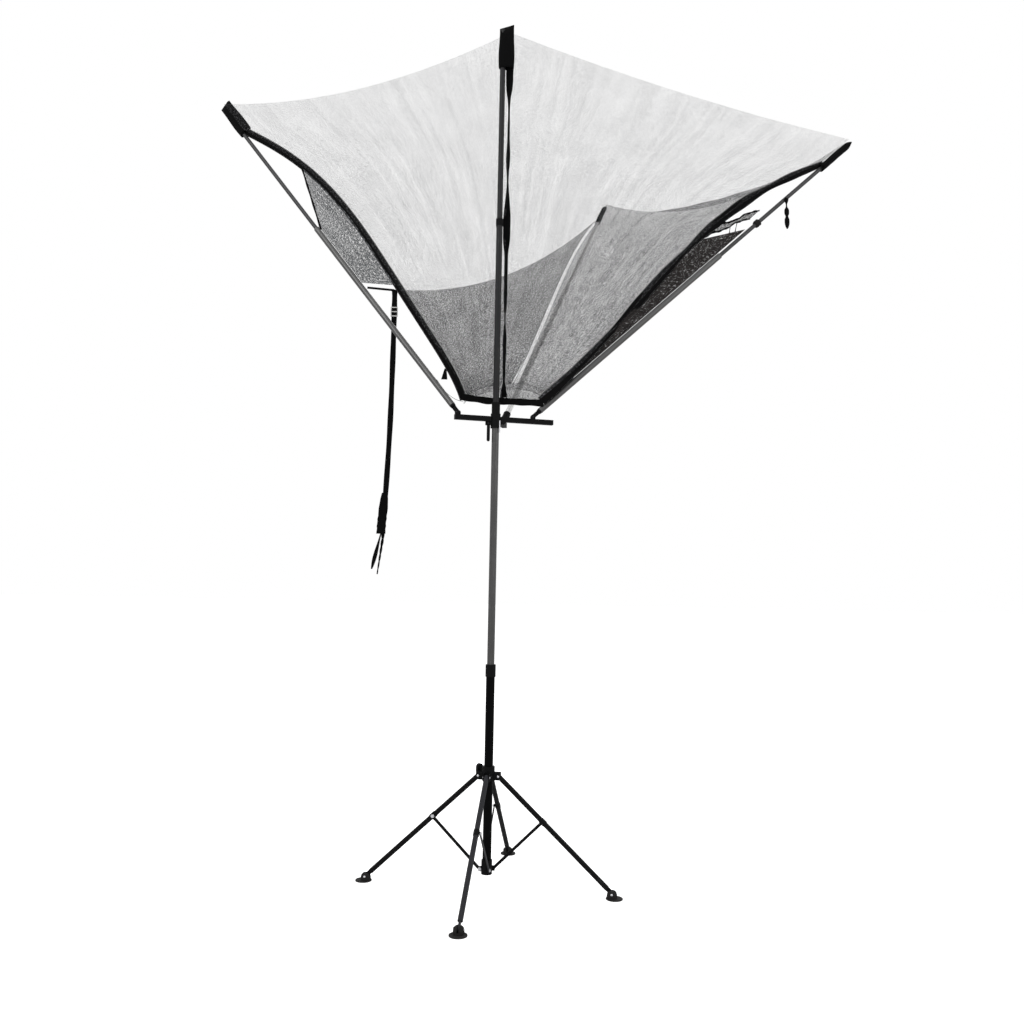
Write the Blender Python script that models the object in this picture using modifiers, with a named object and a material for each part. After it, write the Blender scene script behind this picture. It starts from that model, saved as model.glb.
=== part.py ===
"""Folding basketball return net on a four-legged telescopic stand.

A black stand carries a grey telescopic mast. A hub on the mast holds three ribs,
and a four-sided funnel of net hangs between the mast's top and the ribs' tips.
Sizes are in metres and angles in degrees. The stand's floor is z = 0.
"""
import math

import bmesh
import bpy
from mathutils import Matrix, Vector

# Clearances
FIT_GAP = 0.0003
BOOLEAN_BITE = 0.002
MERGE = 0.00002
SMOOTH_ANGLE = 35.0

# Base tube and its two end pieces
BASE_TUBE_RADIUS = 0.019
TUBE_WALL = 0.0012
BASE_BOTTOM_Z = 0.067
BASE_CUP_FLOOR = 0.008
BASE_CUP_HEIGHT = 0.060
BASE_CUP_RADIUS = 0.0235
BASE_TUBE_TOP_Z = 0.955
LOCK_COLLAR_RADIUS = 0.0225
LOCK_COLLAR_HEIGHT = 0.053
LOCK_COLLAR_LIP = 0.008

# Sliding collar that carries the legs
LEG_COLLAR_Z = 0.485
LEG_COLLAR_RADIUS = 0.0268
LEG_COLLAR_HEIGHT = 0.062
LEG_COLLAR_RISE = 0.010
COLLAR_LUG_THICKNESS = 0.003
COLLAR_LUG_HEIGHT = 0.032
COLLAR_LUG_MARGIN = 0.009
KNOB_AZIMUTH = 130.0
KNOB_Z_OFFSET = 0.018
KNOB_BOSS_RADIUS = 0.008
KNOB_BOSS_REACH = 0.034
KNOB_STEM_RADIUS = 0.004
KNOB_STEM_LENGTH = 0.022
KNOB_RADIUS = 0.020
KNOB_LOBE = 0.005
KNOB_LOBES = 2
KNOB_THICKNESS = 0.014

# Legs, brackets, braces and feet
LEG_TURN = -9.7
LEG_SPACING = 90.0
LEG_AZIMUTHS = {"right": LEG_TURN, "back": LEG_TURN + LEG_SPACING,
                "left": LEG_TURN + LEG_SPACING * 2, "front": LEG_TURN + LEG_SPACING * 3}
LEG_RADIUS = 0.011
LEG_HINGE_REACH = 0.044
LEG_END_BEYOND_HINGE = 0.006
FOOT_REACH = 0.54
FOOT_PIVOT_Z = 0.022
BRACKET_SHARE = 0.397
BRACKET_RADIUS = 0.013
BRACKET_LENGTH = 0.026
BRACE_WIDTH = 0.013
BRACE_THICKNESS = 0.004
BRACE_HINGE_REACH = 0.028
BRACE_HINGE_Z = 0.090
BRACE_SIDE_GAP = 0.0006
HUB_LUG_THICKNESS = 0.004
HUB_LUG_HEIGHT = 0.022
HUB_LUG_MARGIN = 0.0055
TONGUE_THICKNESS = 0.0075
TONGUE_WIDTH = 0.018
TONGUE_LENGTH = 0.030
FOOT_SLOT_PLAY = 0.0005
FOOT_DISC_RADIUS = 0.036
FOOT_DISC_THICKNESS = 0.004
FOOT_DISC_SHIFT = 0.010
FOOT_DOME_RADIUS = 0.0225
FOOT_DOME_HEIGHT = 0.036
FOOT_DOME_PROFILE = [(0.0, 1.0), (0.55, 0.96), (0.85, 0.80), (1.0, 0.50)]
FOOT_SLOT_FLOOR = 0.0115

# Mast
MAST_LOWER_RADIUS = 0.016
MAST_LOWER_BOTTOM_Z = 0.810
MAST_MIDDLE_RADIUS = 0.014
MAST_MIDDLE_TOP_Z = 2.930
MAST_TOP_RADIUS = 0.0122
MAST_TOP_INSERT = 0.120
MAST_TOP_Z = 3.800
FERRULE_RADIUS = 0.0165
FERRULE_HEIGHT = 0.032
FERRULE_LIP = 0.006

# Hub and its three arms
HUB_BOTTOM_Z = 1.998
HUB_TOP_Z = 2.112
HUB_RADIUS = 0.022
HUB_NECK_RADIUS = 0.0185
HUB_NECK_Z = 2.062
HUB_WEB_Z = 2.030
HUB_WEB_THICKNESS = 0.006
ARM_Z = 2.038
ARM_HEIGHT = 0.022
ARM_WIDTH = 0.022
ARM_AZIMUTHS = {"left": 196.9, "right": 16.9, "back": 79.3}
ARM_REACH = {"left": 0.186, "right": 0.266, "back": 0.204}
ARM_ROOT_REACH = 0.072
ARM_ROOT_DROP = 0.012
CLEVIS_EAR_THICKNESS = 0.004
CLEVIS_EAR_RADIUS = 0.010
LEVER_LENGTH = 0.072
LEVER_WIDTH = 0.018
LEVER_THICKNESS = 0.014
LEVER_PIVOT_Z = 2.019
LEVER_STANDOFF = 0.009
LEVER_EAR_THICKNESS = 0.003
LEVER_EAR_HEIGHT = 0.014
PIN_RADIUS = 0.0028
PIN_LENGTH = 0.052
PIN_AZIMUTH = -42.0

# Ribs: where each starts on its arm, its direction and its two tubes
RIB_LENGTH = 2.10
RIB_PIVOT_Z = 2.059
RIB_PIVOT_REACH = {"left": 0.1724, "right": 0.1724, "back": 0.1883}
RIB_AZIMUTH = {"left": 155.2, "right": 12.1, "back": 67.2}
RIB_LEAN = {"left": 40.5, "right": 47.7, "back": 44.4}
RIB_LOWER_RADIUS = 0.0135
RIB_UPPER_RADIUS = 0.0095
RIB_LOWER_SHARE = 0.57
RIB_OVERLAP = 0.050
KNUCKLE_WIDTH = 0.018
KNUCKLE_THICKNESS = 0.010
KNUCKLE_LENGTH = 0.052
KNUCKLE_PLUG_LENGTH = 0.030
SOCKET_WALL = 0.003
SOCKET_FLOOR = 0.004
SOCKET_LENGTH = 0.052

# Fabric pockets on the four tips
POCKET_LENGTH = 0.205
POCKET_HALF_WIDTH = {"front": 0.035, "left": 0.028, "right": 0.028, "back": 0.028}
POCKET_HALF_THICKNESS = 0.0165
POCKET_WALL = 0.0015
POCKET_SHIFT = 0.016

# Net funnel
RIM_FRONT_Z = 2.126
RIM_FRONT_Y = 0.045
RIM_CENTRE_X = 0.028
RIM_HALF_WIDTH = 0.172
RIM_BACK_X = 0.080
RIM_DEPTH = 0.255
RIM_RISE = 0.115
RIM_BAND_HEIGHT = 0.030
BAND_WIDTH = 0.034
BAND_THICKNESS = 0.002
SEAM_BOW = {"left": 0.115, "right": 0.105, "back": 0.050, "front": 0.0}
SEAM_BOW_PEAK = 0.66
SEAM_STEP = {"left": 0.060, "right": 0.0, "back": 0.0, "front": 0.0}
SEAM_STEP_SHARE = 0.08
SEAM_LIFT = 0.0181
FRONT_SEAM_X = 0.032
FRONT_SEAM_Y = 0.024
SEAM_FOOT_GAP = {"front": 0.0165, "left": 0.024, "right": 0.024, "back": 0.0095}
SEAM_TOP_GAP = 0.0005
BAND_STEPS = 22
RIM_STEPS = {("left", "front"): 4, ("front", "right"): 4, ("right", "back"): 10,
             ("back", "left"): 10}
CORD_SAG = {"front_left": 0.09, "front_right": 0.03, "back_left": 0.12, "back_right": 0.16}
LOW_NET_TOP = {"back_left": (1.0, 0.335)}
NET_COLUMNS = 8
NET_BAND_ROWS = 7
NET_FOOT_SHARE = 0.05
NET_POCKET_ROWS = 1
STRAND = 0.0045
NET_EDGE_GAP = 0.0006

# Mesh gussets between a side seam and its rib
WING_TOP_SHARE = {"left": (0.56, 0.80), "right": (0.66, 0.595)}
WING_FOOT_SHARE = {"left": (0.385, 0.350), "right": (0.10, 0.111)}
WING_SLIM_SHARE = 0.65
WING_COLUMNS = 2
WING_SEAM_GAP = 0.0015
WING_ROWS = 12

# Webbing: the tie from the left rib to its seam, and what hangs
TIE_SHARE = (0.37, 0.335)
TIE_WIDTH = 0.010
TIE_THICKNESS = 0.002
TIE_STANDOFF = 0.0009
TIE_END_GAP = 0.006
STRAP_WIDTH = 0.023
STRAP_THICKNESS = 0.003
STRAP_STEPS = 40
LONG_STRAP_HANG_SHARE = 0.85
LONG_STRAP_RISE = 0.004
LONG_STRAP_STANDOFF = 0.0016
LONG_STRAP_DROPS = [(0, 0), (0.0005, 0.080), (-0.0010, 0.340), (-0.0060, 0.640),
                    (-0.0180, 0.940), (-0.0290, 1.080)]
BUCKLE_LENGTH = 0.230
BUCKLE_WIDTH = 0.030
BUCKLE_THICKNESS = 0.014
BUCKLE_ROUNDING = 0.0035
SHORT_STRAP_SHARE = 0.785
SHORT_STRAP_LENGTH = 0.150
SHORT_STRAP_DRIFT = 0.006
SHORT_STRAP_STANDOFF = 0.0045
SHORT_STRAP_STEPS = 6

ROUND_STEPS = 24
SMALL_STEPS = 16
ARC_STEPS = 8

# Derived places
LEG_ANGLE = math.atan2(FOOT_REACH - LEG_HINGE_REACH, LEG_COLLAR_Z - FOOT_PIVOT_Z)
LEG_LENGTH = math.hypot(FOOT_REACH - LEG_HINGE_REACH, LEG_COLLAR_Z - FOOT_PIVOT_Z)
BRACKET_DOWN = BRACKET_SHARE * LEG_LENGTH
BRACKET_REACH = LEG_HINGE_REACH + BRACKET_DOWN * math.sin(LEG_ANGLE)
BRACKET_Z = LEG_COLLAR_Z - BRACKET_DOWN * math.cos(LEG_ANGLE)
BRACE_ANGLE = math.atan2(BRACKET_REACH - BRACE_HINGE_REACH, BRACKET_Z - BRACE_HINGE_Z)
BRACE_LENGTH = math.hypot(BRACKET_REACH - BRACE_HINGE_REACH, BRACKET_Z - BRACE_HINGE_Z)
BRACE_SIDE = BRACKET_RADIUS + BRACE_SIDE_GAP + BRACE_THICKNESS / 2
POCKET_SHARE = 1 - POCKET_LENGTH / RIB_LENGTH
LEVER_X = -(HUB_RADIUS + LEVER_STANDOFF)


def polar(reach, azimuth, z=0.0):
    """A point at a reach from the mast's axis."""
    turn = math.radians(azimuth)
    return Vector((reach * math.cos(turn), reach * math.sin(turn), z))


def rib_pivot(side):
    return polar(RIB_PIVOT_REACH[side], ARM_AZIMUTHS[side], RIB_PIVOT_Z)


def rib_direction(side):
    lean = math.radians(RIB_LEAN[side])
    return polar(math.sin(lean), RIB_AZIMUTH[side], math.cos(lean))


def rib_point(side, share):
    """A point on a rib's axis, from its pivot (0) to its tip (1)."""
    return rib_pivot(side) + rib_direction(side) * (RIB_LENGTH * share)


def rib_up(side):
    """The direction across a rib that points up and in over the funnel."""
    lean = math.radians(RIB_LEAN[side])
    return polar(-math.cos(lean), RIB_AZIMUTH[side], math.sin(lean))


# The stand's axis is set so that the whole machine's box is centred on the origin.
FOOT_EDGE = FOOT_REACH + FOOT_DISC_SHIFT + FOOT_DISC_RADIUS
MAST_X = -(rib_point("right", 1).x + rib_point("left", 1).x) / 2
MAST_Y = -(rib_point("back", 1).y - FOOT_EDGE) / 2

for old in list(bpy.data.objects):
    bpy.data.objects.remove(old, do_unlink=True)

PARTS = bpy.data.collections.new("basketball_return_net")
CUTTERS = bpy.data.collections.new("cutters")
bpy.context.scene.collection.children.link(PARTS)
bpy.context.scene.collection.children.link(CUTTERS)


def make_material(name, colour, roughness, metallic):
    material = bpy.data.materials.new(name)
    material.use_nodes = True
    shader = material.node_tree.nodes["Principled BSDF"]
    shader.inputs["Base Color"].default_value = (*colour, 1.0)
    shader.inputs["Roughness"].default_value = roughness
    shader.inputs["Metallic"].default_value = metallic
    return material


BLACK_STEEL = make_material("black_steel", (0.015, 0.015, 0.017), 0.45, 0.0)
GREY_TUBE = make_material("grey_tube", (0.085, 0.083, 0.080), 0.42, 0.6)
ALUMINIUM = make_material("aluminium", (0.62, 0.62, 0.60), 0.35, 0.9)
BLACK_PLASTIC = make_material("black_plastic", (0.018, 0.018, 0.020), 0.55, 0.0)
RUBBER = make_material("rubber", (0.012, 0.012, 0.012), 0.80, 0.0)
WEBBING = make_material("webbing", (0.010, 0.010, 0.011), 0.90, 0.0)
NET = make_material("net", (0.045, 0.045, 0.048), 0.85, 0.0)
BRIGHT_STEEL = make_material("bright_steel", (0.60, 0.60, 0.62), 0.25, 1.0)


def make_empty(name, parent, location=(0, 0, 0), rotation=(0, 0, 0)):
    empty = bpy.data.objects.new(name, None)
    empty.location = location
    empty.rotation_euler = rotation
    empty.parent = parent
    PARTS.objects.link(empty)
    return empty


def smooth(mesh):
    mesh.shade_smooth()
    mesh.set_sharp_from_angle(angle=math.radians(SMOOTH_ANGLE))


def add_part(name, mesh, material, parent, location=(0, 0, 0), rotation=(0, 0, 0)):
    part = bpy.data.objects.new(name, mesh)
    part.location = location
    part.rotation_euler = rotation
    part.parent = parent
    mesh.materials.append(material)
    PARTS.objects.link(part)
    return part


def add_cutter(name, mesh, parent, location=(0, 0, 0), rotation=(0, 0, 0)):
    cutter = bpy.data.objects.new(name, mesh)
    cutter.location = location
    cutter.rotation_euler = rotation
    cutter.parent = parent
    cutter.hide_render = True
    cutter.display_type = "WIRE"
    CUTTERS.objects.link(cutter)
    return cutter


def combine(part, other, operation):
    step = part.modifiers.new(other.name, "BOOLEAN")
    step.operation = operation
    step.object = other


def box_mesh(name, size, centre=(0, 0, 0)):
    shape = bmesh.new()
    bmesh.ops.create_cube(shape, size=1.0)
    bmesh.ops.scale(shape, vec=size, verts=shape.verts)
    bmesh.ops.translate(shape, vec=centre, verts=shape.verts)
    mesh = bpy.data.meshes.new(name)
    shape.to_mesh(mesh)
    shape.free()
    return mesh


def rod_mesh(name, radius, low, high, steps=ROUND_STEPS):
    """A solid round bar along Z from low to high."""
    shape = bmesh.new()
    bmesh.ops.create_cone(shape, cap_ends=True, segments=steps, radius1=radius,
                          radius2=radius, depth=high - low)
    bmesh.ops.translate(shape, vec=(0, 0, (low + high) / 2), verts=shape.verts)
    mesh = bpy.data.meshes.new(name)
    shape.to_mesh(mesh)
    shape.free()
    smooth(mesh)
    return mesh


def profile_mesh(name, points, closed):
    mesh = bpy.data.meshes.new(name)
    edges = [(i, i + 1) for i in range(len(points) - 1)]
    if closed:
        edges.append((len(points) - 1, 0))
    mesh.from_pydata([(radius, 0, z) for radius, z in points], edges, [])
    return mesh


def turn_profile(part, steps=ROUND_STEPS):
    turn = part.modifiers.new("turn", "SCREW")
    turn.axis = "Z"
    turn.steps = steps
    turn.render_steps = steps
    turn.use_merge_vertices = True
    turn.merge_threshold = MERGE
    turn.use_smooth_shade = True


def tube_profile(outer, bore, low, high):
    return [(outer, high), (outer, low), (bore, low), (bore, high)]


def add_turned(name, points, closed, material, parent, steps=ROUND_STEPS, **place):
    part = add_part(name, profile_mesh(name, points, closed), material, parent, **place)
    turn_profile(part, steps)
    return part


def outline_mesh(name, points, thickness):
    """A flat outline in XY, extruded to a thickness about z = 0."""
    curve = bpy.data.curves.new(name, "CURVE")
    curve.dimensions = "2D"
    curve.fill_mode = "BOTH"
    curve.extrude = thickness / 2
    spline = curve.splines.new("POLY")
    spline.points.add(len(points) - 1)
    for point, (x, y) in zip(spline.points, points):
        point.co = (x, y, 0, 1)
    spline.use_cyclic_u = True
    holder = bpy.data.objects.new(name, curve)
    CUTTERS.objects.link(holder)
    bpy.context.view_layer.update()
    graph = bpy.context.evaluated_depsgraph_get()
    mesh = bpy.data.meshes.new_from_object(holder.evaluated_get(graph))
    bpy.data.objects.remove(holder, do_unlink=True)
    shape = bmesh.new()
    shape.from_mesh(mesh)
    bmesh.ops.remove_doubles(shape, verts=shape.verts, dist=MERGE)
    bmesh.ops.recalc_face_normals(shape, faces=shape.faces)
    shape.to_mesh(mesh)
    shape.free()
    return mesh


def stadium(length, width):
    """A strip's outline with round ends, whose centres are at y = 0 and y = length."""
    radius = width / 2
    points = []
    for i in range(ARC_STEPS + 1):
        turn = math.pi * i / ARC_STEPS
        points.append((radius * math.cos(turn), length + radius * math.sin(turn)))
    for i in range(ARC_STEPS + 1):
        turn = math.pi + math.pi * i / ARC_STEPS
        points.append((radius * math.cos(turn), radius * math.sin(turn)))
    return points


def arch(radius, drop):
    """A round-topped ear's outline, with its pivot at the centre and a flat foot below."""
    points = []
    for i in range(ARC_STEPS + 1):
        turn = math.pi * i / ARC_STEPS
        points.append((radius * math.cos(turn), radius * math.sin(turn)))
    return points + [(-radius, -drop), (radius, -drop)]


def upright(mesh):
    """Turn an outline from XY so that it stands in XZ, with its thickness along Y."""
    mesh.transform(Matrix.Rotation(math.radians(90), 4, "X"))
    return mesh


ORIGIN = make_empty("machine_origin", None, location=(MAST_X, MAST_Y, 0))


def build_base():
    floor_z = BASE_BOTTOM_Z + BASE_CUP_FLOOR
    tube = tube_profile(BASE_TUBE_RADIUS, BASE_TUBE_RADIUS - TUBE_WALL,
                        floor_z + FIT_GAP, BASE_TUBE_TOP_Z)
    add_turned("base_tube", tube, True, BLACK_STEEL, ORIGIN)

    bore = BASE_TUBE_RADIUS + FIT_GAP
    top_z = BASE_BOTTOM_Z + BASE_CUP_HEIGHT
    cup = [(bore, top_z), (BASE_CUP_RADIUS, top_z), (BASE_CUP_RADIUS, BASE_BOTTOM_Z),
           (0, BASE_BOTTOM_Z), (0, floor_z), (bore, floor_z)]
    hub = add_turned("base_bottom_hub", cup[1:4] + cup[4:] + cup[:1], True, BLACK_PLASTIC, ORIGIN)
    lug_side = BRACE_SIDE - BRACE_THICKNESS / 2 - BRACE_SIDE_GAP - HUB_LUG_THICKNESS / 2
    lug_end = BRACE_HINGE_REACH + HUB_LUG_MARGIN
    lug_start = BASE_CUP_RADIUS - BOOLEAN_BITE * 2
    for side, azimuth in LEG_AZIMUTHS.items():
        lug = box_mesh("lug", (lug_end - lug_start, HUB_LUG_THICKNESS, HUB_LUG_HEIGHT),
                       ((lug_end + lug_start) / 2, lug_side, BRACE_HINGE_Z))
        cutter = add_cutter(f"base_lug_{side}", lug, ORIGIN,
                            rotation=(0, 0, math.radians(azimuth)))
        combine(hub, cutter, "UNION")

    lip_z = BASE_TUBE_TOP_Z + FIT_GAP
    end_z = lip_z + LOCK_COLLAR_LIP
    low_z = end_z - LOCK_COLLAR_HEIGHT
    lip_bore = MAST_LOWER_RADIUS + FIT_GAP
    sleeve = [(LOCK_COLLAR_RADIUS, end_z), (LOCK_COLLAR_RADIUS, low_z), (bore, low_z),
              (bore, lip_z), (lip_bore, lip_z), (lip_bore, end_z)]
    holder = make_empty("mast_lock_axis", ORIGIN)
    add_turned("mast_lock_collar", sleeve, True, BLACK_PLASTIC, holder)


def build_leg_collar():
    holder = make_empty("leg_collar_slide_axis", ORIGIN, location=(0, 0, LEG_COLLAR_Z))
    high = LEG_COLLAR_RISE + LEG_COLLAR_HEIGHT / 2
    low = LEG_COLLAR_RISE - LEG_COLLAR_HEIGHT / 2
    ring = tube_profile(LEG_COLLAR_RADIUS, BASE_TUBE_RADIUS + FIT_GAP, low, high)
    collar = add_turned("leg_collar", ring, True, BLACK_PLASTIC, holder)
    lug_end = LEG_HINGE_REACH + COLLAR_LUG_MARGIN
    lug_start = LEG_COLLAR_RADIUS - BOOLEAN_BITE * 2
    lug_side = LEG_RADIUS + FIT_GAP + COLLAR_LUG_THICKNESS / 2
    for side, azimuth in LEG_AZIMUTHS.items():
        for hand in (-1, 1):
            lug = box_mesh("lug", (lug_end - lug_start, COLLAR_LUG_THICKNESS, COLLAR_LUG_HEIGHT),
                           ((lug_end + lug_start) / 2, hand * lug_side, 0))
            cutter = add_cutter(f"collar_lug_{side}_{hand}", lug, holder,
                                rotation=(0, 0, math.radians(azimuth)))
            combine(collar, cutter, "UNION")
    outward = (0, math.radians(90), 0)
    boss = rod_mesh("boss", KNOB_BOSS_RADIUS, LEG_COLLAR_RADIUS - BOOLEAN_BITE * 2,
                    KNOB_BOSS_REACH, SMALL_STEPS)
    boss_axis = make_empty("leg_collar_knob_axis", holder, location=(0, 0, KNOB_Z_OFFSET),
                           rotation=(0, 0, math.radians(KNOB_AZIMUTH)))
    combine(collar, add_cutter("collar_boss", boss, boss_axis, rotation=outward), "UNION")

    lobed = []
    for i in range(KNOB_LOBES * ARC_STEPS):
        turn = 2 * math.pi * i / (KNOB_LOBES * ARC_STEPS)
        radius = KNOB_RADIUS + KNOB_LOBE * math.cos(KNOB_LOBES * turn)
        lobed.append((radius * math.cos(turn), radius * math.sin(turn)))
    head = outline_mesh("leg_collar_knob", lobed, KNOB_THICKNESS)
    stem_start = KNOB_BOSS_REACH + FIT_GAP
    stem_end = stem_start + KNOB_STEM_LENGTH
    head.transform(Matrix.Translation((0, 0, stem_end + KNOB_THICKNESS / 2)))
    knob = add_part("leg_collar_knob", head, BLACK_PLASTIC, boss_axis, rotation=outward)
    stem = rod_mesh("stem", KNOB_STEM_RADIUS, stem_start, stem_end + BOOLEAN_BITE, SMALL_STEPS)
    combine(knob, add_cutter("knob_stem", stem, boss_axis, rotation=outward), "UNION")
    return holder


def build_leg(side, azimuth, collar):
    """One leg with its bracket, brace and swivel foot, in the vertical plane of its azimuth."""
    turn = math.radians(azimuth)
    hinge = make_empty(f"leg_{side}_hinge", collar, location=polar(LEG_HINGE_REACH, azimuth),
                       rotation=(0, -LEG_ANGLE, turn))
    tube_end = -(LEG_LENGTH - TONGUE_LENGTH)
    leg = add_part(f"leg_{side}", rod_mesh(f"leg_{side}", LEG_RADIUS, tube_end,
                                           LEG_END_BEYOND_HINGE, SMALL_STEPS),
                   BLACK_STEEL, hinge)
    tongue = outline_mesh("tongue", stadium(TONGUE_LENGTH + TONGUE_WIDTH / 2, TONGUE_WIDTH),
                          TONGUE_THICKNESS)
    upright(tongue)
    combine(leg, add_cutter(f"leg_{side}_tongue", tongue, hinge, location=(0, 0, -LEG_LENGTH)),
            "UNION")

    bore = LEG_RADIUS + FIT_GAP
    sleeve = tube_profile(BRACKET_RADIUS, bore, -BRACKET_LENGTH / 2, BRACKET_LENGTH / 2)
    add_turned(f"leg_bracket_{side}", sleeve, True, BLACK_PLASTIC, hinge, SMALL_STEPS,
               location=(0, 0, -BRACKET_DOWN))

    brace_place = Matrix.Rotation(turn, 4, "Z") @ Vector((BRACE_HINGE_REACH, 0, BRACE_HINGE_Z))
    brace_hinge = make_empty(f"brace_{side}_hinge", ORIGIN, location=brace_place,
                             rotation=(0, BRACE_ANGLE, turn))
    strip = upright(outline_mesh(f"brace_{side}", stadium(BRACE_LENGTH, BRACE_WIDTH),
                                 BRACE_THICKNESS))
    add_part(f"brace_{side}", strip, BLACK_STEEL, brace_hinge, location=(0, BRACE_SIDE, 0))

    pivot = make_empty(f"foot_{side}_hinge", hinge, location=(0, 0, -LEG_LENGTH),
                       rotation=(0, LEG_ANGLE, 0))
    dome = [(r * FOOT_DOME_RADIUS, z * FOOT_DOME_HEIGHT) for r, z in FOOT_DOME_PROFILE]
    dome += [(FOOT_DOME_RADIUS, BOOLEAN_BITE / 2), (0, BOOLEAN_BITE / 2)]
    sole = (0, 0, -FOOT_PIVOT_Z)
    foot = add_turned(f"foot_{side}", dome, False, RUBBER, pivot, SMALL_STEPS, location=sole)
    disc = rod_mesh("disc", FOOT_DISC_RADIUS, 0, FOOT_DISC_THICKNESS)
    disc_place = (FOOT_DISC_SHIFT, 0, -FOOT_PIVOT_Z)
    combine(foot, add_cutter(f"foot_{side}_disc", disc, pivot, location=disc_place), "UNION")
    slot_height = FOOT_DOME_HEIGHT
    slot = box_mesh("slot", (FOOT_DOME_RADIUS * 3, TONGUE_THICKNESS + 2 * FOOT_SLOT_PLAY,
                             slot_height), (0, 0, FOOT_SLOT_FLOOR + slot_height / 2))
    combine(foot, add_cutter(f"foot_{side}_slot", slot, pivot, location=sole), "DIFFERENCE")


def build_mast():
    """The sliding mast, its hub and the inner top tube. Returns the two moving parents."""
    mast = make_empty("mast_slide_axis", ORIGIN)
    web_top = HUB_WEB_Z + HUB_WEB_THICKNESS
    lower = tube_profile(MAST_LOWER_RADIUS, MAST_LOWER_RADIUS - TUBE_WALL,
                         MAST_LOWER_BOTTOM_Z, HUB_WEB_Z - FIT_GAP)
    add_turned("mast_lower_tube", lower, True, GREY_TUBE, mast)
    middle = tube_profile(MAST_MIDDLE_RADIUS, MAST_MIDDLE_RADIUS - TUBE_WALL,
                          web_top + FIT_GAP, MAST_MIDDLE_TOP_Z)
    add_turned("mast_middle_tube", middle, True, GREY_TUBE, mast)

    low_bore = MAST_LOWER_RADIUS + FIT_GAP
    high_bore = MAST_MIDDLE_RADIUS + FIT_GAP
    block = [(HUB_NECK_RADIUS, HUB_TOP_Z), (HUB_NECK_RADIUS, HUB_NECK_Z),
             (HUB_RADIUS, HUB_NECK_Z), (HUB_RADIUS, HUB_BOTTOM_Z), (low_bore, HUB_BOTTOM_Z),
             (low_bore, HUB_WEB_Z), (0, HUB_WEB_Z), (0, web_top), (high_bore, web_top),
             (high_bore, HUB_TOP_Z)]
    hub = add_turned("hub_block", block, True, BLACK_PLASTIC, mast)
    ear_start = LEVER_X - LEVER_THICKNESS
    ear_end = -MAST_LOWER_RADIUS - FIT_GAP - BOOLEAN_BITE
    ear_side = LEVER_WIDTH / 2 + BRACE_SIDE_GAP + LEVER_EAR_THICKNESS / 2
    for hand in (-1, 1):
        ear = box_mesh("ear", (ear_end - ear_start, LEVER_EAR_THICKNESS, LEVER_EAR_HEIGHT),
                       ((ear_start + ear_end) / 2, hand * ear_side,
                        LEVER_PIVOT_Z + LEVER_THICKNESS / 2 - LEVER_EAR_HEIGHT / 2))
        combine(hub, add_cutter(f"lever_ear_{hand}", ear, mast), "UNION")

    lip_z = MAST_MIDDLE_TOP_Z + FIT_GAP
    lip_bore = MAST_TOP_RADIUS + FIT_GAP
    end_z = lip_z + FERRULE_LIP
    low_z = end_z - FERRULE_HEIGHT
    ferrule = [(FERRULE_RADIUS, end_z), (FERRULE_RADIUS, low_z), (high_bore, low_z),
               (high_bore, lip_z), (lip_bore, lip_z), (lip_bore, end_z)]
    add_turned("mast_ferrule", ferrule, True, BLACK_PLASTIC, mast)

    top = make_empty("mast_top_slide_axis", mast)
    inner = tube_profile(MAST_TOP_RADIUS, MAST_TOP_RADIUS - TUBE_WALL,
                         MAST_MIDDLE_TOP_Z - MAST_TOP_INSERT, MAST_TOP_Z)
    add_turned("mast_top_tube", inner, True, GREY_TUBE, top)

    lever_axis = make_empty("hub_lever_hinge", mast, location=(LEVER_X, 0, LEVER_PIVOT_Z))
    handle = upright(outline_mesh("hub_lever", stadium(LEVER_LENGTH, LEVER_THICKNESS),
                                  LEVER_WIDTH))
    handle.transform(Matrix.Rotation(math.radians(180), 4, "Y"))
    add_part("hub_lever", handle, BLACK_PLASTIC, lever_axis)
    pin = rod_mesh("hub_pin", PIN_RADIUS, HUB_WEB_Z - PIN_LENGTH, HUB_WEB_Z, SMALL_STEPS)
    pin_place = polar(HUB_RADIUS + PIN_RADIUS + FIT_GAP, PIN_AZIMUTH)
    add_part("hub_pin", pin, BRIGHT_STEEL, mast, location=pin_place)
    return mast, top


def rib_matrix(side):
    """A rib's own frame: its foot at the origin and its length along Z."""
    place = Matrix.Translation(rib_pivot(side))
    turn = Matrix.Rotation(math.radians(RIB_AZIMUTH[side]), 4, "Z")
    return place @ turn @ Matrix.Rotation(math.radians(RIB_LEAN[side]), 4, "Y")


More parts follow.
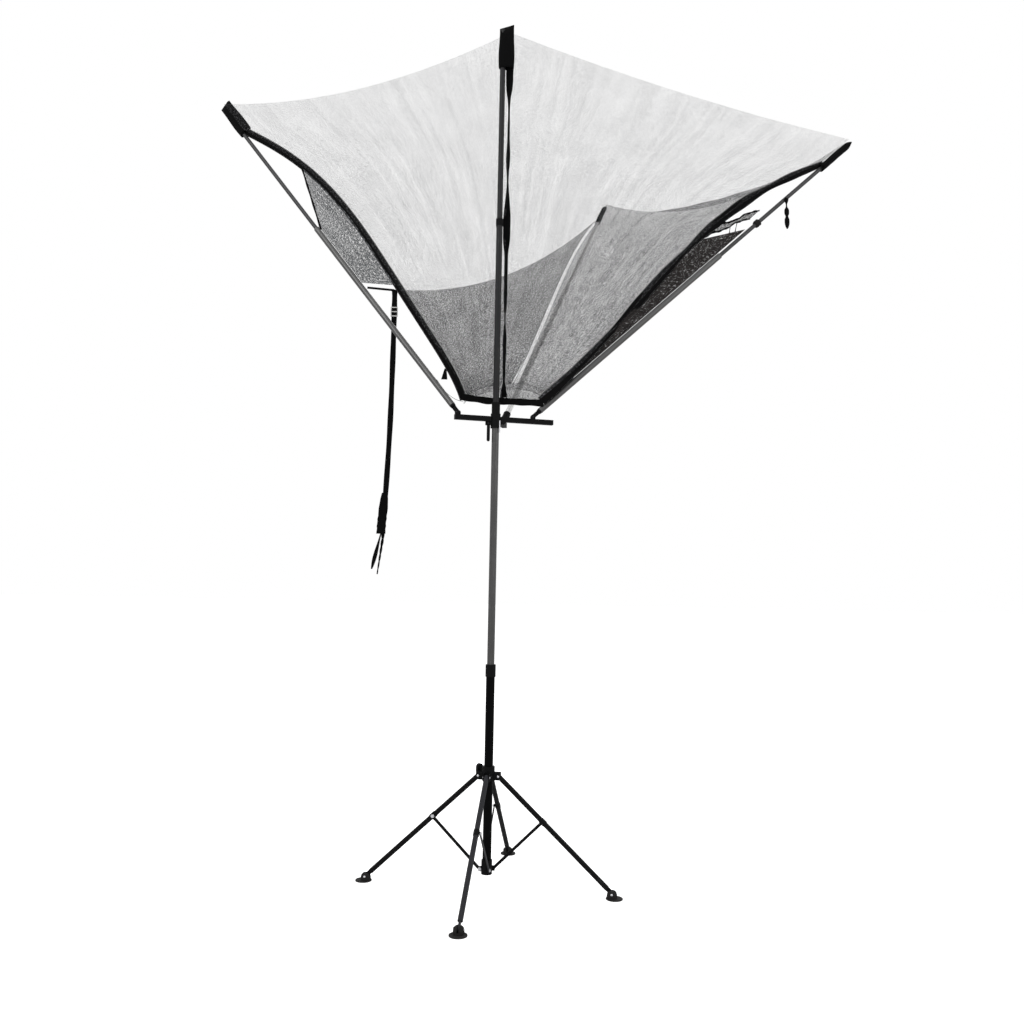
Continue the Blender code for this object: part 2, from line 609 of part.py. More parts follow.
def build_arm(side, mast):
    """One hub arm, with its rib's two pivot ears, or the back rib's slanted socket."""
    turn = math.radians(ARM_AZIMUTHS[side])
    start = HUB_RADIUS + FIT_GAP
    reach = ARM_REACH[side]
    arm = add_part(f"hub_arm_{side}",
                   box_mesh(f"hub_arm_{side}", (reach - start, ARM_WIDTH, ARM_HEIGHT),
                            ((reach + start) / 2, 0, ARM_Z)),
                   BLACK_PLASTIC, mast, rotation=(0, 0, turn))
    root = box_mesh("root", (ARM_ROOT_REACH - start, ARM_WIDTH, ARM_HEIGHT + ARM_ROOT_DROP),
                    ((ARM_ROOT_REACH + start) / 2, 0, ARM_Z - ARM_ROOT_DROP / 2))
    lowest = ARM_Z - ARM_HEIGHT / 2 - ARM_ROOT_DROP
    for vertex in root.vertices:
        if vertex.co.x > start + MERGE and vertex.co.z < lowest + MERGE:
            vertex.co.x = start + ARM_ROOT_DROP
    if side == "right":
        combine(arm, add_cutter(f"arm_root_{side}", root, mast, rotation=(0, 0, turn)), "UNION")
    if side == "back":
        bore = RIB_LOWER_RADIUS + FIT_GAP
        cup = [(0, 0), (bore + SOCKET_WALL, 0), (bore + SOCKET_WALL, SOCKET_LENGTH),
               (bore, SOCKET_LENGTH), (bore, SOCKET_FLOOR), (0, SOCKET_FLOOR)]
        socket = add_cutter("back_socket", profile_mesh("back_socket", cup, True), mast)
        socket.matrix_local = rib_matrix(side)
        turn_profile(socket)
        combine(arm, socket, "UNION")
        return
    pivot = rib_pivot(side)
    ear_side = KNUCKLE_THICKNESS / 2 + BRACE_SIDE_GAP + CLEVIS_EAR_THICKNESS / 2
    drop = RIB_PIVOT_Z - ARM_Z - ARM_HEIGHT / 2 + BOOLEAN_BITE
    for hand in (-1, 1):
        ear = upright(outline_mesh("ear", arch(CLEVIS_EAR_RADIUS, drop), CLEVIS_EAR_THICKNESS))
        ear.transform(Matrix.Translation((0, hand * ear_side, 0)))
        cutter = add_cutter(f"arm_ear_{side}_{hand}", ear, mast, location=pivot,
                            rotation=(0, 0, math.radians(RIB_AZIMUTH[side])))
        combine(arm, cutter, "UNION")


def build_knuckle(side, hinge):
    """The flat blade that turns between an arm's ears, with a plug that fills the rib's foot."""
    blade = upright(outline_mesh(f"rib_{side}_knuckle",
                                 stadium(KNUCKLE_LENGTH - KNUCKLE_WIDTH, KNUCKLE_WIDTH),
                                 KNUCKLE_THICKNESS))
    knuckle = add_part(f"rib_{side}_knuckle", blade, BLACK_PLASTIC, hinge)
    plug_radius = RIB_LOWER_RADIUS - TUBE_WALL - FIT_GAP
    blade_end = KNUCKLE_LENGTH - KNUCKLE_WIDTH / 2
    plug = rod_mesh("plug", plug_radius, blade_end - KNUCKLE_WIDTH / 2,
                    blade_end + KNUCKLE_PLUG_LENGTH, SMALL_STEPS)
    combine(knuckle, add_cutter(f"rib_{side}_plug", plug, hinge), "UNION")
    return blade_end


def build_rib(side, mast):
    """A rib: its foot, lower tube and thinner upper tube, along local Z from its pivot."""
    hinge = make_empty(f"rib_{side}_hinge", mast, location=rib_pivot(side),
                       rotation=(0, math.radians(RIB_LEAN[side]),
                                 math.radians(RIB_AZIMUTH[side])))
    foot = SOCKET_FLOOR if side == "back" else build_knuckle(side, hinge)
    material = ALUMINIUM if side == "back" else GREY_TUBE
    share_end = RIB_LOWER_SHARE * RIB_LENGTH
    insert = share_end - RIB_OVERLAP
    bore = RIB_LOWER_RADIUS - TUBE_WALL
    neck = RIB_UPPER_RADIUS + FIT_GAP
    start = foot + FIT_GAP
    lower = [(RIB_LOWER_RADIUS, share_end), (RIB_LOWER_RADIUS, start), (bore, start),
             (bore, insert), (neck, insert), (neck, share_end)]
    add_turned(f"rib_{side}_lower", lower, True, material, hinge, SMALL_STEPS)
    upper = tube_profile(RIB_UPPER_RADIUS, RIB_UPPER_RADIUS - TUBE_WALL, insert, RIB_LENGTH)
    add_turned(f"rib_{side}_upper", upper, True, material, hinge, SMALL_STEPS)
    return hinge


def build_pocket(name, half_width, parent, tip_z, shift):
    """A flat fabric sleeve, closed at the top, pulled over a tube that points along Z."""
    shape = bmesh.new()
    bmesh.ops.create_cone(shape, cap_ends=True, segments=ROUND_STEPS, radius1=1, radius2=1,
                          depth=POCKET_LENGTH)
    under = [face for face in shape.faces if face.normal.z < -0.9]
    bmesh.ops.delete(shape, geom=under, context="FACES_ONLY")
    top = tip_z + FIT_GAP + POCKET_WALL
    bmesh.ops.scale(shape, vec=(half_width, POCKET_HALF_THICKNESS, 1), verts=shape.verts)
    bmesh.ops.translate(shape, vec=(shift, 0, top - POCKET_LENGTH / 2), verts=shape.verts)
    mesh = bpy.data.meshes.new(name)
    shape.to_mesh(mesh)
    shape.free()
    smooth(mesh)
    pocket = add_part(name, mesh, WEBBING, parent)
    wall = pocket.modifiers.new("wall", "SOLIDIFY")
    wall.thickness = POCKET_WALL
    wall.offset = -1


def rim_point(corner_a, corner_b, share):
    """A point on the funnel's lower rim between two of its corners."""
    angles = {"left": 180.0, "back": 90.0, "right": 0.0}
    if "front" in (corner_a, corner_b):
        ends = {"left": -RIM_HALF_WIDTH, "right": RIM_HALF_WIDTH,
                "front": FRONT_SEAM_X - RIM_CENTRE_X}
        x = ends[corner_a] + (ends[corner_b] - ends[corner_a]) * share
        return Vector((RIM_CENTRE_X + x, RIM_FRONT_Y, RIM_FRONT_Z))
    turn = math.radians(angles[corner_a] + (angles[corner_b] - angles[corner_a]) * share)
    back = math.sin(turn)
    skew = (RIM_BACK_X - RIM_CENTRE_X) * back
    return Vector((RIM_CENTRE_X + RIM_HALF_WIDTH * math.cos(turn) + skew,
                   RIM_FRONT_Y + RIM_DEPTH * back, RIM_FRONT_Z + RIM_RISE * back))


RIM_CORNER = {"left": rim_point("left", "front", 0), "front": rim_point("front", "right", 0),
              "right": rim_point("right", "back", 0), "back": rim_point("right", "back", 1)}


def seam_top(side):
    """Where a seam reaches the mouth of its tip's pocket."""
    if side == "front":
        return Vector((FRONT_SEAM_X, FRONT_SEAM_Y, MAST_TOP_Z - POCKET_LENGTH))
    return rib_point(side, POCKET_SHARE) + rib_up(side) * SEAM_LIFT


def seam_tip(side):
    if side == "front":
        return Vector((FRONT_SEAM_X, FRONT_SEAM_Y, MAST_TOP_Z))
    return rib_point(side, 1) + rib_up(side) * SEAM_LIFT


def seam_point(side, share):
    """A point on a seam from the rim (0) to the pocket's mouth (1), bowed up and in."""
    start = RIM_CORNER[side]
    chord = seam_top(side) - start
    level = Vector((chord.x, chord.y, 0))
    inward = level.normalized() * -chord.z + Vector((0, 0, level.length))
    bow = SEAM_BOW[side] * math.sin(math.pi * share ** (math.log(0.5) / math.log(SEAM_BOW_PEAK)))
    bow += SEAM_STEP[side] * (1 - math.exp(-share / SEAM_STEP_SHARE)) * (1 - share)
    return start + chord * share + inward.normalized() * bow


def seam_across(side):
    """The level direction across a seam, counter-clockwise seen from above."""
    if side == "front":
        return Vector((1, 0, 0))
    chord = seam_top(side) - RIM_CORNER[side]
    return Vector((-chord.y, chord.x, 0)).normalized()


def ribbon_mesh(name, centres, acrosses, closed=False):
    """An open strip through its centre points, given the half width vector at each."""
    shape = bmesh.new()
    pairs = [(shape.verts.new(c - a), shape.verts.new(c + a)) for c, a in zip(centres, acrosses)]
    following = pairs[1:] + pairs[:1] if closed else pairs[1:]
    for (a, b), (c, d) in zip(pairs, following):
        shape.faces.new((a, b, d, c))
    bmesh.ops.recalc_face_normals(shape, faces=shape.faces)
    mesh = bpy.data.meshes.new(name)
    shape.to_mesh(mesh)
    shape.free()
    smooth(mesh)
    return mesh


def add_ribbon(name, centres, acrosses, thickness, material, parent, closed=False):
    ribbon = add_part(name, ribbon_mesh(name, centres, acrosses, closed), material, parent)
    wall = ribbon.modifiers.new("wall", "SOLIDIFY")
    wall.thickness = thickness
    wall.offset = 0
    wall.use_even_offset = True
    return ribbon


def net_shares(name):
    """The shares of a net's rows on its two seams: up the band, then along the pocket (over 1)."""
    if name in LOW_NET_TOP:
        count = NET_BAND_ROWS + NET_POCKET_ROWS
        return [[top * row / count for row in range(count + 1)] for top in LOW_NET_TOP[name]]
    rows = [row / NET_BAND_ROWS for row in range(NET_BAND_ROWS + 1)]
    if "left" in name:
        rows.insert(1, NET_FOOT_SHARE)
    rows += [1 + (row + 1) / NET_POCKET_ROWS for row in range(NET_POCKET_ROWS)]
    return [rows, rows]


def seam_edge(side, share, hand):
    """The net's edge beside a seam: clear of the band below and of the pocket above."""
    band_side = BAND_WIDTH / 2 + NET_EDGE_GAP + STRAND / 2
    pocket_side = max(POCKET_HALF_WIDTH[side] + NET_EDGE_GAP + STRAND / 2, band_side)
    if side == "front":
        pocket_side = band_side
    offset = band_side + (pocket_side - band_side) * min(share, 1)
    if share <= 1:
        centre = seam_point(side, share)
    else:
        centre = seam_top(side).lerp(seam_tip(side), share - 1)
    return centre + seam_across(side) * (hand * offset)


def build_net(side_a, side_b, mast):
    """One net panel, counter-clockwise from seam a to seam b: a blend of its four edges."""
    name = {("left", "front"): "front_left", ("front", "right"): "front_right",
            ("right", "back"): "back_right", ("back", "left"): "back_left"}[side_a, side_b]
    shares_a, shares_b = net_shares(name)
    rim_lift = Vector((0, 0, RIM_BAND_HEIGHT / 2 + NET_EDGE_GAP + STRAND / 2))
    inset = (BAND_WIDTH + STRAND) / 2 + NET_EDGE_GAP
    edge = inset / (RIM_CORNER[side_b] - RIM_CORNER[side_a]).length
    columns = [column / NET_COLUMNS for column in range(NET_COLUMNS + 1)]
    rim = [rim_point(side_a, side_b, edge + (1 - 2 * edge) * u) + rim_lift for u in columns]
    left = rim[:1] + [seam_edge(side_a, share, 1) for share in shares_a[1:]]
    right = rim[-1:] + [seam_edge(side_b, share, -1) for share in shares_b[1:]]
    last = len(shares_a) - 1
    shape = bmesh.new()
    grid = []
    for i, share in enumerate(shares_a):
        v = share / shares_a[-1]
        line = []
        for u, low in zip(columns, rim):
            point = left[i].lerp(right[i], u)
            point += (low - rim[0].lerp(rim[-1], u)) * (1 - v)
            point.z -= CORD_SAG[name] * 4 * u * (1 - u) * v ** 2
            line.append(shape.verts.new(point))
        grid.append(line)
    for i in range(last):
        for j in range(NET_COLUMNS):
            shape.faces.new((grid[i][j], grid[i][j + 1], grid[i + 1][j + 1], grid[i + 1][j]))
    bmesh.ops.recalc_face_normals(shape, faces=shape.faces)
    mesh = bpy.data.meshes.new(f"net_{name}")
    shape.to_mesh(mesh)
    shape.free()
    add_strands(add_part(f"net_{name}", mesh, NET, mast))


def add_strands(part):
    strands = part.modifiers.new("strands", "WIREFRAME")
    strands.thickness = STRAND
    strands.use_even_offset = True
    strands.use_boundary = True
    strands.use_replace = True


def wing_ends(side, on_rib, on_seam):
    """The two ends of a line across a wing, on its rib and under its seam band."""
    radius = RIB_LOWER_RADIUS if on_rib < WING_SLIM_SHARE else RIB_UPPER_RADIUS
    outer = rib_point(side, on_rib) + rib_up(side) * (radius + STRAND / 2 + NET_EDGE_GAP)
    inner = seam_point(side, on_seam)
    inner -= rib_up(side) * (BAND_THICKNESS / 2 + STRAND / 2 + WING_SEAM_GAP)
    return outer, inner


def build_wing(side, mast):
    """The mesh gusset between a side seam's band and the rib outside it."""
    shape = bmesh.new()
    grid = []
    for row in range(WING_ROWS + 1):
        shares = [low + (high - low) * row / WING_ROWS
                  for low, high in zip(WING_FOOT_SHARE[side], WING_TOP_SHARE[side])]
        outer, inner = wing_ends(side, *shares)
        line = []
        for column in range(WING_COLUMNS + 1):
            line.append(shape.verts.new(outer.lerp(inner, column / WING_COLUMNS)))
        grid.append(line)
    for row in range(WING_ROWS):
        for column in range(WING_COLUMNS):
            shape.faces.new((grid[row][column], grid[row][column + 1],
                             grid[row + 1][column + 1], grid[row + 1][column]))
    bmesh.ops.recalc_face_normals(shape, faces=shape.faces)
    mesh = bpy.data.meshes.new(f"wing_{side}")
    shape.to_mesh(mesh)
    shape.free()
    add_strands(add_part(f"wing_{side}", mesh, NET, mast))


def build_bands(mast):
    """The webbing sewn along the four seams and round the lower rim."""
    for side in ("front", "left", "right", "back"):
        length = (seam_top(side) - RIM_CORNER[side]).length
        low = SEAM_FOOT_GAP[side] / length
        high = 1 - SEAM_TOP_GAP / length
        shares = [low + (high - low) * i / BAND_STEPS for i in range(BAND_STEPS + 1)]
        centres = [seam_point(side, share) for share in shares]
        acrosses = [seam_across(side) * (BAND_WIDTH / 2)] * len(centres)
        add_ribbon(f"seam_band_{side}", centres, acrosses, BAND_THICKNESS, WEBBING, mast)
    loop = []
    for (side_a, side_b), count in RIM_STEPS.items():
        loop += [rim_point(side_a, side_b, i / count) for i in range(count)]
    up = Vector((0, 0, RIM_BAND_HEIGHT / 2))
    add_ribbon("rim_band", loop, [up] * len(loop), BAND_THICKNESS, WEBBING, mast, closed=True)


def smooth_route(points, steps):
    """Even samples of a smooth curve through a hanging strap's own points."""
    samples = []
    for i in range(steps + 1):
        place = (len(points) - 1) * i / steps
        start = min(int(place), len(points) - 2)
        u = place - start
        around = [points[max(start - 1, 0)], points[start], points[start + 1],
                  points[min(start + 2, len(points) - 1)]]
        a, b, c, d = (Vector(point) for point in around)
        sample = b * 2 + (c - a) * u + (a * 2 - b * 5 + c * 4 - d) * u ** 2
        sample += (b * 3 - a - c * 3 + d) * u ** 3
        samples.append(sample / 2)
    return samples


def build_straps(mast, rib_right):
    outer, inner = wing_ends("left", *TIE_SHARE)
    line = (inner - outer).normalized()
    level = Vector((line.x, line.y, 0)).normalized()
    back = Vector((-level.y, level.x, 0))
    tie_off = back * ((STRAND + TIE_THICKNESS) / 2 + TIE_STANDOFF)
    tie_across = back.cross(line) * (TIE_WIDTH / 2)
    tie_ends = [outer + line * TIE_END_GAP + tie_off, inner - line * TIE_END_GAP + tie_off]
    add_ribbon("tie_strap", tie_ends, [tie_across] * 2, TIE_THICKNESS, WEBBING, mast)

    hang = outer.lerp(inner, LONG_STRAP_HANG_SHARE) + tie_off + Vector((0, 0, LONG_STRAP_RISE))
    hang += back * ((TIE_THICKNESS + STRAP_THICKNESS) / 2 + LONG_STRAP_STANDOFF)
    points = [hang + Vector((drift, 0, -drop)) for drift, drop in LONG_STRAP_DROPS]
    route = smooth_route(points, STRAP_STEPS)
    across = Vector((STRAP_WIDTH / 2, 0, 0))
    add_ribbon("long_strap", route, [level * (STRAP_WIDTH / 2)] * len(route), STRAP_THICKNESS,
               WEBBING, mast)
    end = points[-1]
    lean = math.atan2(points[-2].x - end.x, points[-2].z - end.z)
    buckle = box_mesh("long_strap_buckle", (BUCKLE_WIDTH, BUCKLE_THICKNESS, BUCKLE_LENGTH),
                      (0, 0, -BUCKLE_LENGTH / 2 - FIT_GAP * 3))
    part = add_part("long_strap_buckle", buckle, WEBBING, mast, location=end,
                    rotation=(0, lean, math.atan2(level.y, level.x)))
    rounding = part.modifiers.new("rounding", "BEVEL")
    rounding.width = BUCKLE_ROUNDING
    rounding.segments = 2

    top = rib_point("right", SHORT_STRAP_SHARE)
    top += Vector((0, -RIB_UPPER_RADIUS - SHORT_STRAP_STANDOFF, 0))
    short = [top, top + Vector((SHORT_STRAP_DRIFT / 2, 0, -SHORT_STRAP_LENGTH / 2)),
             top + Vector((SHORT_STRAP_DRIFT, 0, -SHORT_STRAP_LENGTH))]
    inverse = rib_matrix("right").inverted()
    centres = [inverse @ point for point in smooth_route(short, SHORT_STRAP_STEPS)]
    turned = inverse.to_3x3() @ across
    add_ribbon("short_strap", centres, [turned] * len(centres), STRAP_THICKNESS, WEBBING,
               rib_right)


build_base()
LEG_COLLAR = build_leg_collar()
for leg_side, leg_azimuth in LEG_AZIMUTHS.items():
    build_leg(leg_side, leg_azimuth, LEG_COLLAR)
MAST, MAST_TOP = build_mast()
build_pocket("pocket_front", POCKET_HALF_WIDTH["front"], MAST_TOP, MAST_TOP_Z, POCKET_SHIFT)
RIBS = {}
for rib_side in ("left", "right", "back"):
    build_arm(rib_side, MAST)
    RIBS[rib_side] = build_rib(rib_side, MAST)
    sleeve_axis = make_empty(f"pocket_{rib_side}_axis", RIBS[rib_side],
                             rotation=(0, 0, math.radians(90)))
    build_pocket(f"pocket_{rib_side}", POCKET_HALF_WIDTH[rib_side], sleeve_axis, RIB_LENGTH, 0)
for first, second in (("left", "front"), ("front", "right"), ("right", "back"), ("back", "left")):
    build_net(first, second, MAST)
for wing_side in ("left", "right"):
    build_wing(wing_side, MAST)
build_bands(MAST)
build_straps(MAST, RIBS["right"])
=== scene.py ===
"""Looks of the folding basketball return net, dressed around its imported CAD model."""
import math

import bmesh
import bpy
from mathutils import Matrix, Vector


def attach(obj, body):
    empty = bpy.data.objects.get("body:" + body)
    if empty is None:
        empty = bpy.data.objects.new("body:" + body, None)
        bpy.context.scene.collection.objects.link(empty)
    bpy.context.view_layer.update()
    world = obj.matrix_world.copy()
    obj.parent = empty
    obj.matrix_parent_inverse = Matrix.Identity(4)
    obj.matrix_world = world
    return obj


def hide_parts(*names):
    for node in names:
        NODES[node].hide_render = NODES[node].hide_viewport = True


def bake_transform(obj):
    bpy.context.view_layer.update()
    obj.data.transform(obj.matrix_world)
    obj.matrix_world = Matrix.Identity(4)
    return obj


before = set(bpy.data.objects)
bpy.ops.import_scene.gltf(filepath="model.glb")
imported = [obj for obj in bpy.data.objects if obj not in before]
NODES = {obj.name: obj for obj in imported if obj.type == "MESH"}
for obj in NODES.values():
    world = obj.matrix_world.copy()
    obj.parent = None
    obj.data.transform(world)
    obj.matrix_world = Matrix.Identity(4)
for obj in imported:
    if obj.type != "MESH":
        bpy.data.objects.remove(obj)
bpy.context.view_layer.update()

# View, floor and light
# The machine stands on a plain white floor in an even studio light. The camera stands
# 1.40 m above the floor and looks 3 degrees up, as the photograph's does.
MAST = Vector((-0.140327, -0.476757, 0.0))
CAMERA_PLACE = MAST + Vector((0.08, -4.385, 1.40))
CAMERA_PITCH = 93.0
CAMERA_ROLL = 1.1
CAMERA_LENS = 35.156
SENSOR_WIDTH = 36.0
VIEW_REACH = 200.0
FLOOR_SIZE = 60.0
FLOOR_DROP = 0.0005
FLOOR_WHITE = (0.90, 0.90, 0.90, 1)
FLOOR_ROUGHNESS = 0.9
FLOOR_SHINE = 0.1
FLOOR_GLOW = 0.62
AMBIENT_LIGHT = 0.55
WHITE = (1, 1, 1, 1)
LAMP_AIM = Vector((0, 0, 1.6))
LAMP_SIZE = 5.0
LAMPS = {"key_lamp": ((-4.5, -6.0, 7.0), 330.0), "fill_lamp": ((6.0, -4.0, 5.0), 160.0),
         "back_lamp": ((1.0, 7.0, 6.5), 200.0)}


def feed(tree, node, sockets):
    """Give each named socket of a node its value, or a link from another node's socket."""
    for socket, value in sockets.items():
        if isinstance(value, bpy.types.NodeSocket):
            tree.links.new(value, node.inputs[socket])
        else:
            node.inputs[socket].default_value = value


def add_node(tree, kind, sockets, **settings):
    """The outputs of a new shader node with its settings, values and links."""
    node = tree.nodes.new(f"ShaderNode{kind}")
    for setting, value in settings.items():
        setattr(node, setting, value)
    feed(tree, node, sockets)
    return node.outputs


def reckon(tree, operation, *values):
    """The result of one sum on sockets and numbers."""
    return add_node(tree, "Math", dict(enumerate(values)), operation=operation)[0]


def open_material(name):
    """A new material, its node tree and its Principled shader."""
    material = bpy.data.materials.new(name)
    material.use_nodes = True
    return material, material.node_tree, material.node_tree.nodes["Principled BSDF"]


def put_in_scene(piece):
    bpy.context.scene.collection.objects.link(piece)
    return piece


camera = put_in_scene(bpy.data.objects.new("camera", bpy.data.cameras.new("camera")))
camera.data.lens = CAMERA_LENS
camera.data.sensor_width = SENSOR_WIDTH
camera.data.clip_end = VIEW_REACH
camera.matrix_world = (Matrix.Translation(CAMERA_PLACE)
                       @ Matrix.Rotation(math.radians(CAMERA_PITCH), 4, "X")
                       @ Matrix.Rotation(math.radians(CAMERA_ROLL), 4, "Z"))
bpy.context.scene.camera = camera
bpy.context.scene.view_settings.view_transform = "Standard"

bpy.ops.object.select_all(action="DESELECT")
bpy.ops.mesh.primitive_plane_add(size=FLOOR_SIZE, location=(0, 0, -FLOOR_DROP))
floor = bpy.context.object
floor.name = "studio_floor"
bpy.ops.object.transform_apply(location=True, rotation=True, scale=True)
floor_white, floor_tree, floor_shader = open_material("floor_white")
floor_ray = add_node(floor_tree, "LightPath", {})
feed(floor_tree, floor_shader, {
    "Base Color": FLOOR_WHITE, "Roughness": FLOOR_ROUGHNESS, "Specular IOR Level": FLOOR_SHINE,
    "Emission Color": WHITE,
    "Emission Strength": reckon(floor_tree, "MULTIPLY", floor_ray["Is Camera Ray"], FLOOR_GLOW)})
floor.data.materials.append(floor_white)

world = bpy.data.worlds.new("studio_world")
world.use_nodes = True
bpy.context.scene.world = world
air = world.node_tree
backdrop = air.nodes["Background"]
feed(air, backdrop, {"Color": WHITE, "Strength": 1.0})
ambient = add_node(air, "Background", {"Color": WHITE, "Strength": AMBIENT_LIGHT})
ray = add_node(air, "LightPath", {})
seen = reckon(air, "MAXIMUM", ray["Is Camera Ray"], ray["Is Glossy Ray"])
seen = reckon(air, "MAXIMUM", seen, ray["Is Transmission Ray"])
which = add_node(air, "MixShader", {0: seen, 1: ambient[0], 2: backdrop.outputs[0]})
feed(air, air.nodes["World Output"], {"Surface": which[0]})

for lamp_name, (lamp_place, lamp_power) in LAMPS.items():
    lamp = put_in_scene(bpy.data.objects.new(lamp_name, bpy.data.lights.new(lamp_name, "AREA")))
    lamp.data.size = LAMP_SIZE
    lamp.data.energy = lamp_power
    lamp.location = lamp_place
    lamp.rotation_euler = (LAMP_AIM - lamp.location).to_track_quat("-Z", "Y").to_euler()

# Black stand: base tube, legs and braces
# Drawn steel tube and pressed strip, degreased and powder coated satin black before
# assembly. The coat has a fine orange peel and is rubbed where the parts are handled.
LEG_TURNS = {"right": -9.7, "back": 80.3, "left": 170.3, "front": 260.3}
LEG_HINGE_REACH = 0.044
LEG_COLLAR_Z = 0.485
FOOT_REACH = 0.54
FOOT_PIVOT_Z = 0.022
LEG_RADIUS = 0.011
LEG_LEAN = math.atan2(FOOT_REACH - LEG_HINGE_REACH, LEG_COLLAR_Z - FOOT_PIVOT_Z)
LEG_LENGTH = math.hypot(FOOT_REACH - LEG_HINGE_REACH, LEG_COLLAR_Z - FOOT_PIVOT_Z)
COAT_ROUGH = (0.45, 0.65)
COAT_BUMP_DEPTH = 0.0006
FINE_SHARE = 0.35
RUB_STRETCH = (1, 1, 0.05)
# The front leg's coat is lighter than the other legs' coat, as a painted highlight.
PAINTED_HIGHLIGHT_LEG_COAT = {"front": ((0.018, 0.018, 0.020), (0.034, 0.034, 0.038))}
PLAIN_LEG_COAT = ((0.0010, 0.0010, 0.0011), (0.004, 0.004, 0.0045))


def open_group(name, given, results):
    """A node group with its sockets by kind, its inputs and its output node."""
    group = bpy.data.node_groups.new(name, "ShaderNodeTree")
    for way, kinds in (("INPUT", given), ("OUTPUT", results)):
        for kind, labels in kinds.items():
            for label in labels:
                group.interface.new_socket(label, in_out=way, socket_type=f"NodeSocket{kind}")
    return group, group.nodes.new("NodeGroupInput").outputs, group.nodes.new("NodeGroupOutput")


def mottle(tree, vector, scale, detail=2.0, roughness=0.5):
    """The level of a noise over the surface."""
    return add_node(tree, "TexNoise", {"Vector": vector, "Scale": scale, "Detail": detail,
                                       "Roughness": roughness})["Fac"]


def stretch(tree, vector, scale):
    return add_node(tree, "Mapping", {"Vector": vector, "Scale": scale})["Vector"]


def ramp(tree, level, low, high, start=0.0, end=1.0, **settings):
    """A level that runs from a start to an end between two bounds."""
    return add_node(tree, "MapRange", {"Value": level, "From Min": low, "From Max": high,
                                       "To Min": start, "To Max": end}, **settings)["Result"]


def mix(tree, share, first, second, **settings):
    """Two colours mixed."""
    return add_node(tree, "Mix", {"Factor": share, "A": first, "B": second},
                    data_type="RGBA", **settings)["Result"]


def relief(tree, height, strength, depth):
    """The normal of a fine relief."""
    return add_node(tree, "Bump", {"Height": height, "Strength": strength,
                                   "Distance": depth})["Normal"]


# Two sizes of grain, for colour, roughness and height.
GRAIN, given, result = open_group(
    "surface_grain", {"Vector": ["Vector"], "Color": ["Dark", "Light"],
                      "Float": ["Grain Scale", "Patch Scale", "Rough Low", "Rough High"]},
    {"Color": ["Color"], "Float": ["Roughness", "Height"]})
fine = mottle(GRAIN, given["Vector"], given["Grain Scale"], detail=3.0)
patch = mottle(GRAIN, given["Vector"], given["Patch Scale"], detail=5.0, roughness=0.62)
feed(GRAIN, result, {
    "Color": mix(GRAIN, patch, given["Dark"], given["Light"]), "Height": fine,
    "Roughness": ramp(GRAIN, reckon(GRAIN, "MULTIPLY_ADD", fine, FINE_SHARE, patch), low=0.35,
                      high=0.95, start=given["Rough Low"], end=given["Rough High"])})

# A mask of fine scuffs that run along the Z of its vector.
RUBS, given, result = open_group("rub_marks", {"Vector": ["Vector"], "Float": ["Amount"]},
                                 {"Float": ["Mask"]})
marks = mottle(RUBS, stretch(RUBS, given["Vector"], RUB_STRETCH), scale=420.0)
places = mottle(RUBS, given["Vector"], scale=14.0, detail=4.0)
scuffs = reckon(RUBS, "MULTIPLY", ramp(RUBS, marks, low=0.58, high=0.70),
                ramp(RUBS, places, low=0.50, high=0.68))
feed(RUBS, result, {"Mask": reckon(RUBS, "MULTIPLY", scuffs, given["Amount"])})


def coated_finish(name, dark, light, rough, metallic=0.0, grain=900.0, patch=9.0, bump=0.12,
                  rub=0.35, rub_colour=(0.10, 0.10, 0.10), place=(0, 0, 0), turn=(0, 0, 0),
                  shine=0.5, lines=None):
    """A hard finish with grain, patches and rub marks along the piece's own length."""
    material, tree, shader = open_material(name)
    along = add_node(tree, "Mapping", {"Vector": add_node(tree, "TexCoord", {})["Object"],
                                       "Location": place, "Rotation": turn},
                     vector_type="TEXTURE")["Vector"]
    grains = add_node(tree, "Group", {
        "Vector": along, "Grain Scale": grain, "Patch Scale": patch, "Dark": (*dark, 1),
        "Light": (*light, 1), "Rough Low": rough[0], "Rough High": rough[1]}, node_tree=GRAIN)
    rubs = add_node(tree, "Group", {"Vector": along, "Amount": rub}, node_tree=RUBS)
    colour = mix(tree, rubs["Mask"], grains["Color"], (*rub_colour, 1))
    if lines:
        colour = add_node(tree, "Group", {"Vector": along, "Color": colour},
                          node_tree=lines)["Color"]
    feed(tree, shader, {"Base Color": colour, "Metallic": metallic,
                        "Roughness": grains["Roughness"], "Specular IOR Level": shine,
                        "Normal": relief(tree, grains["Height"], bump, COAT_BUMP_DEPTH)})
    return material


def dress(material, *names):
    """Give CAD nodes their finish."""
    for name in names:
        for slot in NODES[name].material_slots:
            slot.material = material


def direction(turn):
    return Vector((math.cos(math.radians(turn)), math.sin(math.radians(turn)), 0))


def polar(reach, turn, z=0.0):
    """A point at a reach from the mast's axis."""
    return MAST + direction(turn) * reach + Vector((0, 0, z))


dress(coated_finish("black_powder_coat", (0.0010, 0.0010, 0.0011), (0.0032, 0.0032, 0.0035),
                    COAT_ROUGH, shine=0.03, rub_colour=(0.03, 0.03, 0.031)), "base_tube")
for leg_side, leg_turn in LEG_TURNS.items():
    # The front leg and its brace take the lighter coat, a painted highlight.
    leg_coat = coated_finish(f"black_leg_{leg_side}", *PAINTED_HIGHLIGHT_LEG_COAT.get(leg_side, PLAIN_LEG_COAT),
                             COAT_ROUGH, shine=0.08, rub=0.5, rub_colour=(0.07, 0.07, 0.072),
                             place=polar(LEG_HINGE_REACH, leg_turn, LEG_COLLAR_Z),
                             turn=(0, -LEG_LEAN, math.radians(leg_turn)))
    dress(leg_coat, f"leg_{leg_side}", f"brace_{leg_side}")

